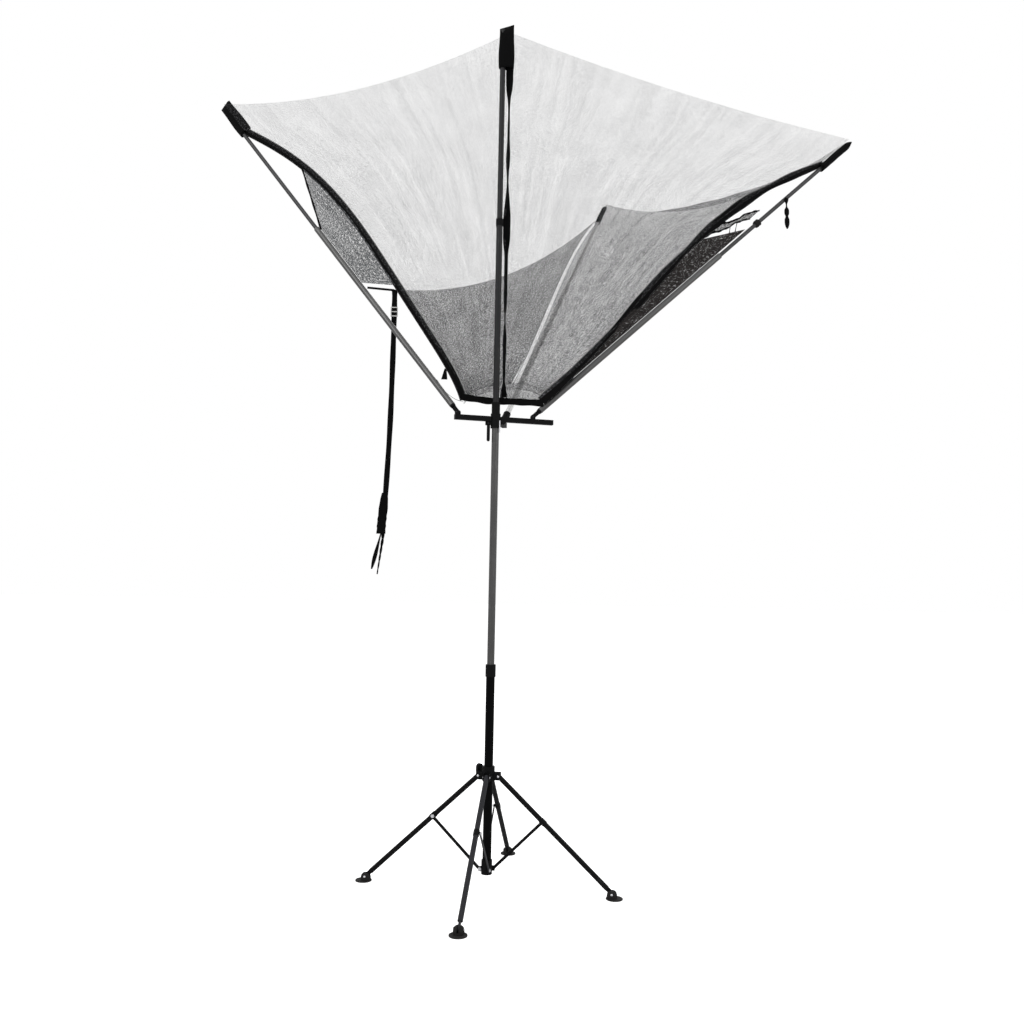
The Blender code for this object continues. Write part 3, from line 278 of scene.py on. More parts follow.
# Rivets and bolts of the stand
# Plated steel rivets with low domed heads hold the feet and the legs' pivots. Hex bolts
# on washers hold the braces, tightened so that the strips still turn.
RIVET_RADIUS = 0.0052
RIVET_HEIGHT = 0.0026
BOLT_RADIUS = 0.0058
BOLT_HEIGHT = 0.0042
BOLT_CHAMFER = 0.0006
WASHER_RADIUS = 0.0078
WASHER_HEIGHT = 0.0010
FOOT_DOME_AT_PIVOT = 0.0206
LUG_GAP = 0.0003
LUG_THICKNESS = 0.003
BRACKET_SHARE = 0.397
BRACKET_HALF = 0.013
BRACE_GAP = 0.0006
BRACE_THICKNESS = 0.004
BRACE_HINGE = (0.028, 0.090)
LUG_SIDE = LEG_RADIUS + LUG_GAP + LUG_THICKNESS
BRACE_SIDE = BRACKET_HALF + BRACE_GAP + BRACE_THICKNESS
BRACKET_DOWN = BRACKET_SHARE * LEG_LENGTH
PLATED_STEEL = coated_finish("plated_steel", (0.48, 0.48, 0.50), (0.66, 0.66, 0.68),
                             (0.22, 0.42), metallic=1.0, grain=1400.0, patch=60.0, bump=0.05,
                             rub=0.3, rub_colour=(0.30, 0.29, 0.27))


def join_pieces(pieces, name):
    """Several like pieces as one object."""
    bpy.ops.object.select_all(action="DESELECT")
    for piece in pieces:
        piece.select_set(True)
    bpy.context.view_layer.objects.active = pieces[0]
    bpy.ops.object.join()
    pieces[0].name = name
    return pieces[0]


def take_mesh(piece):
    """A piece's mesh, kept to be copied, without the piece."""
    mesh = piece.data.copy()
    bpy.data.objects.remove(piece, do_unlink=True)
    return mesh


def rivet_mesh(radius, height):
    """A domed rivet head on the XY plane, modelled once and copied."""
    bpy.ops.object.select_all(action="DESELECT")
    bpy.ops.mesh.primitive_uv_sphere_add(segments=20, ring_count=12, radius=radius)
    head = bpy.context.object
    bpy.ops.object.mode_set(mode="EDIT")
    bpy.ops.mesh.select_all(action="SELECT")
    bpy.ops.mesh.bisect(plane_co=(0, 0, 0), plane_no=(0, 0, 1), clear_inner=True, use_fill=True)
    bpy.ops.object.mode_set(mode="OBJECT")
    head.scale = (1, 1, height / radius)
    bpy.ops.object.transform_apply(location=False, rotation=False, scale=True)
    mesh = take_mesh(head)
    for face in mesh.polygons:
        face.use_smooth = len(face.vertices) < 6
    return mesh


def chamfered_disc(sides, radius, bottom, height, chamfer, steps):
    """A washer's disc or a bolt's hexagon with its edges chamfered."""
    bpy.ops.object.select_all(action="DESELECT")
    bpy.ops.mesh.primitive_cylinder_add(vertices=sides, radius=radius, depth=height,
                                        location=(0, 0, bottom + height / 2))
    disc = bpy.context.object
    bpy.ops.object.modifier_add(type="BEVEL")
    disc.modifiers[0].width = chamfer
    disc.modifiers[0].segments = steps
    bpy.ops.object.modifier_apply(modifier=disc.modifiers[0].name)
    return disc


def bolt_mesh():
    """A hex head on a washer, with its corners chamfered."""
    washer = chamfered_disc(32, WASHER_RADIUS, 0, WASHER_HEIGHT, WASHER_HEIGHT * 0.3, 1)
    head = chamfered_disc(6, BOLT_RADIUS, WASHER_HEIGHT, BOLT_HEIGHT, BOLT_CHAMFER, 2)
    bolt = join_pieces([washer, head], "bolt")
    bpy.ops.object.transform_apply(location=True, rotation=True, scale=True)
    return take_mesh(bolt)


def on_both_sides(centre, sideways, reach):
    """The two places beside a centre, each with the direction that it faces."""
    return [(centre + sideways * (hand * reach), sideways * hand) for hand in (-1, 1)]


def fasten(name, mesh, places, material, body):
    """Copies of one fastener's mesh, each at a point and facing an axis, on one body."""
    heads = []
    for centre, axis in places:
        head = put_in_scene(bpy.data.objects.new(name, mesh.copy()))
        turn = axis.to_track_quat("Z", "Y").to_matrix().to_4x4()
        head.data.transform(Matrix.Translation(centre) @ turn)
        heads.append(head)
    joined = join_pieces(heads, name)
    joined.data.materials.clear()
    joined.data.materials.append(material)
    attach(joined, body)


RIVET = rivet_mesh(RIVET_RADIUS, RIVET_HEIGHT)
BOLT = bolt_mesh()
for leg_side, leg_turn in LEG_TURNS.items():
    sideways = direction(leg_turn + 90)
    foot = polar(FOOT_REACH, leg_turn, FOOT_PIVOT_Z)
    fasten(f"foot_{leg_side}_rivets", RIVET, on_both_sides(foot, sideways, FOOT_DOME_AT_PIVOT),
           PLATED_STEEL, f"{leg_side}_foot")
    bracket = polar(LEG_HINGE_REACH + BRACKET_DOWN * math.sin(LEG_LEAN), leg_turn,
                    LEG_COLLAR_Z - BRACKET_DOWN * math.cos(LEG_LEAN))
    hinge = polar(BRACE_HINGE[0], leg_turn, BRACE_HINGE[1])
    fasten(f"brace_{leg_side}_bolts", BOLT,
           [(end + sideways * BRACE_SIDE, sideways) for end in (bracket, hinge)],
           PLATED_STEEL, f"{leg_side}_brace")
fasten("leg_collar_rivets", RIVET,
       [place for turn in LEG_TURNS.values()
        for place in on_both_sides(polar(LEG_HINGE_REACH, turn, LEG_COLLAR_Z),
                                   direction(turn + 90), LUG_SIDE)], PLATED_STEEL, "leg_carrier")

# Moulded pieces of the stand: bottom hub, collars, brackets and knob
# Black glass-filled nylon, injection moulded with a fine spark-eroded grain, and clamped
# or pinned on the tubes.
MOULDED_BLACK = coated_finish("moulded_black", (0.0015, 0.0015, 0.0015), (0.004, 0.004, 0.0045),
                              (0.50, 0.70), grain=1500.0, patch=22.0, bump=0.25, rub=0.25,
                              rub_colour=(0.025, 0.025, 0.025), shine=0.08)
dress(MOULDED_BLACK, "base_bottom_hub", "mast_lock_collar", "leg_collar", "leg_collar_knob",
      *[f"leg_bracket_{side}" for side in LEG_TURNS])

# Rubber feet
# Black rubber, moulded as a dome on a round flange, dusty from the court near the floor.
# The flange stands on the floor and the dome turns on the leg's rivets.
RUBBER = coated_finish("dusty_rubber", (0.004, 0.004, 0.004), (0.018, 0.017, 0.016),
                       (0.70, 0.95), grain=700.0, patch=45.0, bump=0.35, rub=0.5,
                       rub_colour=(0.07, 0.065, 0.06), shine=0.2)
dress(RUBBER, *[f"foot_{side}" for side in LEG_TURNS])

# Mast tubes and ferrule
# Drawn aluminium tube with a grey coat, in three sizes that slide in each other. The coat
# shows fine streaks along the tube from the drawing and from sliding.
STREAK_STRETCH = (1, 1, 0.012)
STREAKS, given, result = open_group("drawn_streaks", {"Vector": ["Vector"], "Color": ["Color"]},
                                    {"Color": ["Color"]})
lines = mottle(STREAKS, stretch(STREAKS, given["Vector"], STREAK_STRETCH), scale=260.0,
               detail=3.0)
feed(STREAKS, result, {"Color": mix(STREAKS, 1.0, given["Color"],
                                    ramp(STREAKS, lines, low=0.3, high=0.7, start=0.80,
                                         end=1.15),
                                    blend_type="MULTIPLY")})


def streak_finish(name, dark, light, rough, metallic, rub_colour, rub=0.6, **others):
    """A drawn tube's finish: streaks along its length over the grain."""
    return coated_finish(name, dark, light, rough, metallic=metallic, grain=1300.0, patch=5.0,
                         bump=0.04, rub=rub, rub_colour=rub_colour, lines=STREAKS, **others)


dress(streak_finish("grey_mast_coat", (0.045, 0.045, 0.046), (0.085, 0.084, 0.082),
                    (0.32, 0.50), 0.5, (0.20, 0.20, 0.20)), "mast_lower_tube")
dress(streak_finish("dark_mast_coat", (0.006, 0.006, 0.007), (0.014, 0.014, 0.015),
                    (0.34, 0.52), 0.1, (0.08, 0.08, 0.08), shine=0.2),
      "mast_middle_tube", "mast_top_tube")
dress(MOULDED_BLACK, "mast_ferrule")

# Hub, arms, clamp lever and pin
# Moulded nylon block on the mast with three bolted arms. The lever clamps the block, and
# a bright pin hangs beside it.
ARM_TURNS = {"left": 196.9, "right": 16.9, "back": 79.3}
RIB_PIVOT_REACH = {"left": 0.1724, "right": 0.1724, "back": 0.1883}
RIB_PIVOT_Z = 2.059
RIB_TURNS = {"left": 155.2, "right": 12.1, "back": 67.2}
RIB_LEANS = {"left": 40.5, "right": 47.7, "back": 44.4}
RIB_LENGTH = 2.10
ARM_EAR_SIDE = 0.0096
LEVER_PIVOT = Vector((-0.031, 0, 2.019))
LEVER_EAR_SIDE = 0.0126
SMALL_RIVET_RADIUS = 0.0040
SMALL_RIVET_HEIGHT = 0.0020
BLACKED_STEEL = coated_finish("blacked_steel", (0.010, 0.010, 0.011), (0.022, 0.022, 0.024),
                              (0.35, 0.55), metallic=0.6, grain=1400.0, patch=60.0, bump=0.05,
                              rub=0.3, rub_colour=(0.06, 0.06, 0.06), shine=0.2)
SMALL_RIVET = rivet_mesh(SMALL_RIVET_RADIUS, SMALL_RIVET_HEIGHT)


def rib_foot(side):
    return polar(RIB_PIVOT_REACH[side], ARM_TURNS[side], RIB_PIVOT_Z)


def rib_line(side):
    lean = math.radians(RIB_LEANS[side])
    return direction(RIB_TURNS[side]) * math.sin(lean) + Vector((0, 0, math.cos(lean)))


def rib_side(side):
    """The level direction across a rib."""
    return direction(RIB_TURNS[side] + 90)


def rib_up(side):
    """The direction across a rib that points up and in over the funnel."""
    lean = math.radians(RIB_LEANS[side])
    return direction(RIB_TURNS[side]) * -math.cos(lean) + Vector((0, 0, math.sin(lean)))


def rib_point(side, share, lift=0.0):
    """A point above a rib's axis, from its pivot (0) to its tip (1)."""
    return rib_foot(side) + rib_line(side) * (RIB_LENGTH * share) + rib_up(side) * lift


dress(MOULDED_BLACK, "hub_block", "hub_arm_left", "hub_arm_right", "hub_arm_back", "hub_lever",
      "rib_left_knuckle", "rib_right_knuckle")
dress(PLATED_STEEL, "hub_pin")
fasten("rib_pivot_bolts", SMALL_RIVET,
       [place for side in ("left", "right")
        for place in on_both_sides(rib_foot(side), rib_side(side), ARM_EAR_SIDE)],
       BLACKED_STEEL, "mast")
fasten("hub_lever_rivets", SMALL_RIVET,
       on_both_sides(MAST + LEVER_PIVOT, Vector((0, 1, 0)), LEVER_EAR_SIDE),
       BLACKED_STEEL, "mast")

# Ribs
# Each rib is a thick and a thin tube. The side ribs have the mast's grey coat, and the rear
# rib is left bright, its near-white colour partly a painted highlight.
# The rear rib's near-white colour is partly bright metal and partly a painted highlight.
RIB_FINISHES = {"bright_tube_and_painted_highlight": ((0.90, 0.90, 0.89), (0.97, 0.97, 0.96), (0.35, 0.50), 0.10,
                                      (0.75, 0.75, 0.74), 0.25),
                "grey_rib": ((0.060, 0.060, 0.061), (0.105, 0.104, 0.102), (0.30, 0.48), 0.55,
                             (0.26, 0.26, 0.26), 0.6),
                "dark_grey_rib": ((0.020, 0.020, 0.021), (0.040, 0.040, 0.042), (0.34, 0.50), 0.4,
                                  (0.12, 0.12, 0.12), 0.6)}
for tube_finish, tube_side, tube_names in (
        ("grey_rib", "left", ["rib_left_lower"]), ("dark_grey_rib", "left", ["rib_left_upper"]),
        ("grey_rib", "right", ["rib_right_lower"]), ("dark_grey_rib", "right", ["rib_right_upper"]),
        ("bright_tube_and_painted_highlight", "back", ["rib_back_lower", "rib_back_upper"])):
    dress(streak_finish(f"{tube_finish}_{tube_side}", *RIB_FINISHES[tube_finish],
                        place=rib_foot(tube_side),
                        turn=(0, math.radians(RIB_LEANS[tube_side]),
                              math.radians(RIB_TURNS[tube_side]))), *tube_names)

# Net panels
# Four panels of fine black knitted polyester netting with holes of about 4 mm. Each is cut
# to a tapered shape, sewn to the webbing at its seams and hung between the tips.
RIM_FRONT = (0.045, 2.126)
RIM_CENTRE_X = 0.028
RIM_HALF_WIDTH = 0.172
RIM_BACK_X = 0.080
RIM_DEPTH = 0.255
RIM_RISE = 0.115
RIM_TURNS = {"left": 180.0, "back": 90.0, "right": 0.0}
FRONT_SEAM = (0.032, 0.024)
POCKET_LENGTH = 0.205
MAST_TOP_Z = 3.800
SEAM_LIFT = 0.0181
SEAM_BOW = {"left": 0.115, "right": 0.105, "back": 0.050, "front": 0.0}
SEAM_BOW_PEAK = 0.66
SEAM_STEP = {"left": 0.060, "right": 0.0, "back": 0.0, "front": 0.0}
SEAM_STEP_SHARE = 0.08
POCKET_HALF_WIDTH = {"front": 0.018, "left": 0.028, "right": 0.028, "back": 0.0175}
POCKET_OVERLAP = 0.006
CORD_SAG = {"front_left": 0.09, "front_right": 0.03, "back_left": 0.12, "back_right": 0.16}
LOW_TOP = {"back_left": (1.0, 0.335)}
NET_TUCK = 0.0025
REAR_EDGE = 0.0115
NET_SIDES = {"front_left": ("left", "front"), "front_right": ("front", "right"),
             "back_right": ("right", "back"), "back_left": ("back", "left")}
FOLDS = {"front_left": (5.0, 0.008), "front_right": (6.0, 0.009), "back_right": (7.0, 0.010),
         "back_left": (6.0, 0.008)}
FOLD_SLANT = 0.35
FOLD_WANDER = 1.7
SMALL_FOLD = 0.35
SMALL_FOLD_COUNT = 2.7
SMALL_FOLD_SLANT = 0.8
CORNER_INSET = 0.06
CORNER_SHARE = 0.14
NET_ABOVE_RIM = Vector((0, 0, 0.010))
NET_GRID = (46, 60)
GORE_COLUMNS = 12
SPLIT_AT = {"front_left": 0.83, "front_right": 0.06}
NET_LENGTH = 2.1
NET_HOLE = 0.0042
REAR_BLACK = (0.020, 0.020, 0.021)
FAN_WIDTH = 2.4
FAN_SCALE = 0.10
MERGE_REACH = 0.00005
THREAD_WANDER = 0.006
THREAD_SLANT = 0.8
HEM_HEIGHT = 0.15
THREAD_GLINT = 7.0


def rim_point(corner_a, corner_b, share):
    """A point on the funnel's lower rim between two of its corners."""
    if "front" in (corner_a, corner_b):
        ends = {"left": -RIM_HALF_WIDTH, "right": RIM_HALF_WIDTH,
                "front": FRONT_SEAM[0] - RIM_CENTRE_X}
        x = ends[corner_a] + (ends[corner_b] - ends[corner_a]) * share
        return MAST + Vector((RIM_CENTRE_X + x, *RIM_FRONT))
    turn = math.radians(RIM_TURNS[corner_a] + (RIM_TURNS[corner_b] - RIM_TURNS[corner_a]) * share)
    back = math.sin(turn)
    skew = (RIM_BACK_X - RIM_CENTRE_X) * back
    return MAST + Vector((RIM_CENTRE_X + RIM_HALF_WIDTH * math.cos(turn) + skew,
                          RIM_FRONT[0] + RIM_DEPTH * back, RIM_FRONT[1] + RIM_RISE * back))


RIM_CORNER = {"left": rim_point("left", "front", 0), "front": rim_point("front", "right", 0),
              "right": rim_point("right", "back", 0), "back": rim_point("right", "back", 1)}


def seam_top(side):
    """Where a seam reaches the mouth of its tip's pocket."""
    if side == "front":
        return MAST + Vector((*FRONT_SEAM, MAST_TOP_Z - POCKET_LENGTH))
    return rib_point(side, 1 - POCKET_LENGTH / RIB_LENGTH, SEAM_LIFT)


def seam_tip(side):
    """Where a seam would end at the closed end of its tip's pocket."""
    if side == "front":
        return MAST + Vector((*FRONT_SEAM, MAST_TOP_Z))
    return rib_point(side, 1, SEAM_LIFT)


def seam_point(side, share):
    """A point on a seam from the rim (0) to the pocket's mouth (1), bowed up and in."""
    start = RIM_CORNER[side]
    chord = seam_top(side) - start
    level = Vector((chord.x, chord.y, 0))
    inward = level.normalized() * -chord.z + Vector((0, 0, level.length))
    bow = math.sin(math.pi * max(share, 0) ** (math.log(0.5) / math.log(SEAM_BOW_PEAK)))
    step = (1 - math.exp(-share / SEAM_STEP_SHARE)) * (1 - share)
    bow = SEAM_BOW[side] * bow + SEAM_STEP[side] * step
    return start + chord * share + inward.normalized() * bow


def seam_across(side):
    """The level direction across a seam, counter-clockwise seen from above."""
    if side == "front":
        return Vector((1, 0, 0))
    chord = seam_top(side) - RIM_CORNER[side]
    return Vector((-chord.y, chord.x, 0)).normalized()


def seam_edge(side, share, hand):
    """The net's edge, tucked under the side of its seam's band and of the pocket above."""
    pocket_side = POCKET_HALF_WIDTH[side] - POCKET_OVERLAP
    tuck = REAR_EDGE if side == "back" else NET_TUCK
    offset = tuck + (pocket_side - tuck) * max(0, min(1, 4 * share - 3))
    if share <= 1:
        centre = seam_point(side, share)
    else:
        centre = seam_top(side).lerp(seam_tip(side), share - 1)
    return centre + seam_across(side) * (hand * offset)


def row_share(panel, row):
    """The two seam shares at a row of a net, from its rim (0) to its top edge (1)."""
    if panel in LOW_TOP:
        return [top * row for top in LOW_TOP[panel]], row
    band = (seam_top(NET_SIDES[panel][0]) - RIM_CORNER[NET_SIDES[panel][0]]).length
    climbed = row * (band + POCKET_LENGTH)
    share = climbed / band if climbed <= band else 1 + (climbed - band) / POCKET_LENGTH
    return [share, share], share / 2


def net_point(panel, u, row):
    """A point of a net: a blend of its four edges, its top's sag and its soft folds."""
    side_a, side_b = NET_SIDES[panel]
    (share_a, share_b), height = row_share(panel, row)
    low_a, low, low_b = (rim_point(side_a, side_b, CORNER_INSET + (1 - 2 * CORNER_INSET) * place)
                         + NET_ABOVE_RIM for place in (0, u, 1))
    settled = max(0.0, 1 - max(share_a, share_b) / CORNER_SHARE)
    left = seam_edge(side_a, share_a, 1) + (low_a - seam_edge(side_a, 0, 1)) * settled
    right = seam_edge(side_b, share_b, -1) + (low_b - seam_edge(side_b, 0, -1)) * settled
    point = left.lerp(right, u) + (low - low_a.lerp(low_b, u)) * (1 - height)
    point.z -= CORD_SAG[panel] * 4 * u * (1 - u) * height ** 2
    outward = Vector((point.x - MAST.x, point.y - MAST.y, 0))
    outward = outward.normalized() if outward.length > 0.01 else Vector((0, -1, 0))
    held = 0
    if 0 < u < 1 and 0 < row < 1:
        held = math.sin(math.pi * u) ** 0.5 * (4 * row * (1 - row)) ** 0.7
    count, depth = FOLDS[panel]
    wave = math.sin(2 * math.pi * (count * u + FOLD_SLANT * row)
                    + FOLD_WANDER * math.sin(3 * u + 2 * row))
    small = SMALL_FOLD * (1 - row) * math.sin(
        2 * math.pi * (SMALL_FOLD_COUNT * count * u - SMALL_FOLD_SLANT * row))
    return point + outward * (depth * held * (wave + small))


# Threads on two diagonals of a map in metres, as a mask, a height and a colour.
KNIT, given, result = open_group(
    "knitted_net", {"Vector": ["Vector", "Fan"], "Color": ["Dark", "Light"],
                    "Float": ["Hem", "Streak", "Speckle", "Hole", "Thread Low", "Thread High",
                              "Length"]}, {"Float": ["Mask", "Height"], "Color": ["Color"]})


def uneven(noise, strength, middle=0.5):
    """A noise's level above and below its middle, times a strength."""
    return reckon(KNIT, "MULTIPLY", reckon(KNIT, "SUBTRACT", noise, middle), strength)


thread_shift = uneven(mottle(KNIT, given["Vector"], scale=40.0), THREAD_WANDER)
split = add_node(KNIT, "SeparateXYZ", {"Vector": given["Vector"]})
thread_gaps = []
for operation in ("ADD", "SUBTRACT"):
    slant = reckon(KNIT, operation, reckon(KNIT, "MULTIPLY", split["Y"], THREAD_SLANT),
                   split["X"])
    turns = reckon(KNIT, "DIVIDE", reckon(KNIT, "ADD", slant, thread_shift), given["Hole"])
    gap = reckon(KNIT, "SUBTRACT", reckon(KNIT, "FRACT", turns), 0.5)
    thread_gaps.append(reckon(KNIT, "ABSOLUTE", gap))
nearest = reckon(KNIT, "MINIMUM", *thread_gaps)
glints = mottle(KNIT, given["Vector"], scale=105.0)
thickness = ramp(KNIT, split["Y"], 0.0, given["Length"], given["Thread Low"],
                 given["Thread High"])
doubling = ramp(KNIT, split["Y"], 0.0, HEM_HEIGHT, given["Hem"], 0.0,
                interpolation_type="SMOOTHSTEP")
folds = uneven(mottle(KNIT, given["Fan"], scale=16.0, detail=4.0), given["Streak"])
soft = uneven(mottle(KNIT, given["Vector"], scale=7.0), strength=0.7)
thickness = reckon(KNIT, "MULTIPLY", reckon(KNIT, "ADD", thickness, doubling), reckon(
    KNIT, "MULTIPLY", reckon(KNIT, "ADD", uneven(glints, given["Speckle"]), 1.0),
    reckon(KNIT, "ADD", reckon(KNIT, "ADD", folds, soft), 1.0)))
half_thread = reckon(KNIT, "MULTIPLY", thickness, 0.5)
feed(KNIT, result, {
    "Mask": reckon(KNIT, "LESS_THAN", nearest, half_thread),
    "Height": reckon(KNIT, "SUBTRACT", 1.0, reckon(KNIT, "DIVIDE", nearest, half_thread)),
    "Color": mix(KNIT, uneven(glints, strength=5.0, middle=0.47), given["Dark"],
                 given["Light"])})


def net_finish(name, thread_low, thread_high, colour, hole=NET_HOLE, length=NET_LENGTH, hem=0.0,
               streak=1.4, speckle=3.4):
    """Knitted netting: diamond holes between threads that thin out from the rim upwards."""
    material, tree, shader = open_material(name)
    knit = add_node(tree, "Group", {
        "Vector": add_node(tree, "UVMap", {}, uv_map="cloth")["UV"],
        "Fan": add_node(tree, "UVMap", {}, uv_map="fan")["UV"], "Hem": hem, "Streak": streak,
        "Speckle": speckle, "Hole": hole, "Thread Low": thread_low, "Thread High": thread_high,
        "Length": length, "Dark": (*colour, 1),
        "Light": (*[value * THREAD_GLINT for value in colour], 1)}, node_tree=KNIT)
    feed(tree, shader, {"Base Color": knit["Color"], "Roughness": 0.85,
                        "Specular IOR Level": 0.25, "Alpha": knit["Mask"],
                        "Normal": relief(tree, knit["Height"], strength=0.5, depth=0.0005)})
    return material


def cloth_piece(name, vertices, faces, maps, material, mend=None):
    """A piece of cloth from its mesh and the maps of its flat cut, in metres."""
    mesh = bpy.data.meshes.new(name)
    mesh.from_pydata(vertices, [], faces)
    for label, places in maps.items():
        layer = mesh.uv_layers.new(name=label)
        for loop in mesh.loops:
            layer.data[loop.index].uv = places[loop.vertex_index]
    if mend:
        shape = bmesh.new()
        shape.from_mesh(mesh)
        mend(shape)
        shape.to_mesh(mesh)
        shape.free()
    mesh.shade_smooth()
    mesh.materials.append(material)
    piece = put_in_scene(bpy.data.objects.new(name, mesh))
    return piece


def merge_doubles(shape):
    bmesh.ops.remove_doubles(shape, verts=shape.verts, dist=MERGE_REACH)


def face_outwards(shape):
    bmesh.ops.recalc_face_normals(shape, faces=shape.faces)


def cloth_sheet(name, grid, flat, material):
    """A sheet of netting from rows of points and of their places on the flat cut."""
    width = len(grid[0])
    places = [place for line in flat for place in line]
    fan = [(FAN_WIDTH * (i % width) / (width - 1), FAN_SCALE * place[1])
           for i, place in enumerate(places)]
    faces = [(i * width + j, i * width + j + 1, (i + 1) * width + j + 1, (i + 1) * width + j)
             for i in range(len(grid) - 1) for j in range(width - 1)]
    return cloth_piece(name, [point for line in grid for point in line], faces,
                       {"cloth": places, "fan": fan}, material, merge_doubles)


def climb_along(points):
    """The distance travelled at each point of a line, from its first point."""
    travelled = [0.0]
    for low, high in zip(points, points[1:]):
        travelled.append(travelled[-1] + (high - low).length)
    return travelled


def net_piece(name, panel, start, end, columns, rows, material):
    """Part of a net between two lines, each from its place at the rim to that at the top."""
    middle = [net_point(panel, 0.5, i / rows) for i in range(rows + 1)]
    climbed = climb_along(middle)
    grid, flat = [], []
    for i in range(rows + 1):
        row = i / rows
        first, last = (low + (top - low) * row for low, top in (start, end))
        shares = [first + (last - first) * j / columns for j in range(columns + 1)]
        grid.append([net_point(panel, u, row) for u in shares])
        flat.append([(math.copysign(1, u - 0.5) * (point - middle[i]).length, climbed[i])
                     for u, point in zip(shares, grid[i])])
    width = max(climb_along(line)[-1] for line in grid)
    return cloth_sheet(name, grid, flat, material), width, climbed[-1]


def fold_with_rib(piece):
    """Bake a piece's transform into its mesh."""
    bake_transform(piece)


NET_FRONT = net_finish("fine_black_net_front", 0.19, 0.115, (0.016, 0.016, 0.017), hem=0.31,
                       streak=1.1, speckle=1.7)
NET_REAR = {"back_left": net_finish("fine_black_net_rear_left", 0.46, 0.34, REAR_BLACK,
                                    streak=0.9),
            "back_right": net_finish("fine_black_net_rear_right", 0.34, 0.28, REAR_BLACK,
                                     streak=1.1)}
# A gore beside the front seam is cut as a piece of its own, apart from the rest of the net.
NET_CUTS = {"net_front_left": ("front_left", (0, 0), (1, SPLIT_AT["front_left"])),
            "net_front_left_gore": ("front_left", (1, SPLIT_AT["front_left"]), (1, 1)),
            "net_front_right_gore": ("front_right", (0, 0), (0, SPLIT_AT["front_right"])),
            "net_front_right": ("front_right", (0, SPLIT_AT["front_right"]), (1, 1)),
            "net_back_right": ("back_right", (0, 0), (1, 1)),
            "net_back_left": ("back_left", (0, 0), (1, 1))}
for cut_name, (panel, cut_start, cut_end) in NET_CUTS.items():
    columns = GORE_COLUMNS if "gore" in cut_name else NET_GRID[0]
    sheet, net_width, net_length = net_piece(f"{cut_name}_cloth", panel, cut_start, cut_end,
                                             columns, NET_GRID[1], NET_REAR.get(panel, NET_FRONT))
    if "gore" in cut_name:
        first, last = net_point(panel, cut_start[0], 0), seam_tip("front")
        edge = (net_point(panel, SPLIT_AT[panel], 1) - first).normalized()
        foot = first + edge * (last - first).dot(edge)
        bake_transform(sheet)
    else:
        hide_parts(f"net_{panel}")
        fold_with_rib(sheet)

# Wings
# A gusset of denser black mesh closes the gap between each side seam and its rib. Its inner
# edge is sewn under the seam's band, and its outer edge lies on the rib.
WING_FOOT = {"left": (0.385, 0.350), "right": (0.10, 0.111)}
WING_TOP = {"left": (0.56, 0.80), "right": (0.66, 0.595)}
# The right wing has a darker colour than the left wing, partly painted shade.
WING_COLOUR = {"left": (0.020, 0.021, 0.022), "right": (0.0050, 0.0042, 0.0040)}
WING_THREADS = {"left": (0.62, 0.42), "right": (1.30, 1.15)}
WING_HOLE = 0.0026
WING_LENGTH = 1.2
WING_GRID = (8, 50)
WING_ABOVE_RIB = 0.0012
WING_UNDER_SEAM = 0.0022
WING_BELLY = 0.004
BELLY_START = 0.15
WING_RIPPLES = ((1, 9, 4), (0.5, 23, -5))
RIB_RADIUS = {"lower": 0.0135, "upper": 0.0095}


def wing_point(side, across, height):
    """A point of a wing, from its rib (0) to its seam (1), from its foot (0) to its top (1)."""
    on_rib, on_seam = (low + (high - low) * height
                       for low, high in zip(WING_FOOT[side], WING_TOP[side]))
    outer = rib_point(side, on_rib, RIB_RADIUS["lower"] + WING_ABOVE_RIB)
    inner = seam_point(side, on_seam) - rib_up(side) * WING_UNDER_SEAM
    belly = math.sin(math.pi * (BELLY_START + height * (1 - BELLY_START)))
    belly *= WING_BELLY * math.sin(math.pi * across)
    ripple = sum(size * math.sin(upward * height + sideways * across)
                 for size, upward, sideways in WING_RIPPLES)
    return outer.lerp(inner, across) + rib_side(side) * (belly * ripple)


for wing_side in ("left", "right"):
    wing_mesh = net_finish(f"wing_mesh_{wing_side}", *WING_THREADS[wing_side],
                           WING_COLOUR[wing_side], hole=WING_HOLE, length=WING_LENGTH)
    wing_grid = [[wing_point(wing_side, j / WING_GRID[0], i / WING_GRID[1])
                  for j in range(WING_GRID[0] + 1)] for i in range(WING_GRID[1] + 1)]
    climbed = climb_along([line[WING_GRID[0] // 2] for line in wing_grid])
    wing_flat = [[((point - line[0]).length, height) for point in line]
                 for line, height in zip(wing_grid, climbed)]
    wing = cloth_sheet(f"wing_{wing_side}_cloth", wing_grid, wing_flat, wing_mesh)
    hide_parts(f"wing_{wing_side}")
    fold_with_rib(wing)

# Webbing on the seams and round the rim
# Woven black polyester webbing, about 34 mm wide on the front and left seams, wider on the
# right one and 30 mm on the rim, is folded over the nets' edges and lockstitched. The rear
# seam and rim are strips of netting, edged with narrow tape and a cord.
# Each weave's dark colour is painted shade in its hollows, and its light colour is on the raised
# floats.
BLACK_WEAVE = ((0.0010, 0.0010, 0.0010), (0.0070, 0.0070, 0.0076))
PALE_WEAVE = ((0.25, 0.25, 0.25), (0.55, 0.55, 0.54))
WARP_FLATTENING = 0.8
SELVEDGE_SHARE = 0.35
SHARP_ANGLE = 50
STITCH_PITCH = 0.008
STITCH_LONG = 0.0048
STITCH_WIDE = 0.0011
STITCH_HIGH = 0.0006
STITCH_EDGE = 0.84
BAND_ROWS = 90
BAND_THICKNESS = 0.0022
BAND_END_SHARE = 0.06
SEAM_FOOT_GAP = {"front": 0.0165, "left": 0.004, "right": 0.004, "back": 0.0095}
BAND_TOP = {"front": 1.0214, "left": 1.004, "right": 1.014, "back": 0.999}
BAND_HALF = {"front": 0.0165, "left": 0.0170, "right": 0.0190, "back": 0.0125}
RIGHT_HALF_WAVES = ((0.0045, 19, 0.6), (0.002, 43, 0))
RIGHT_END_SHARE = 0.55
RIGHT_TAPER = 8
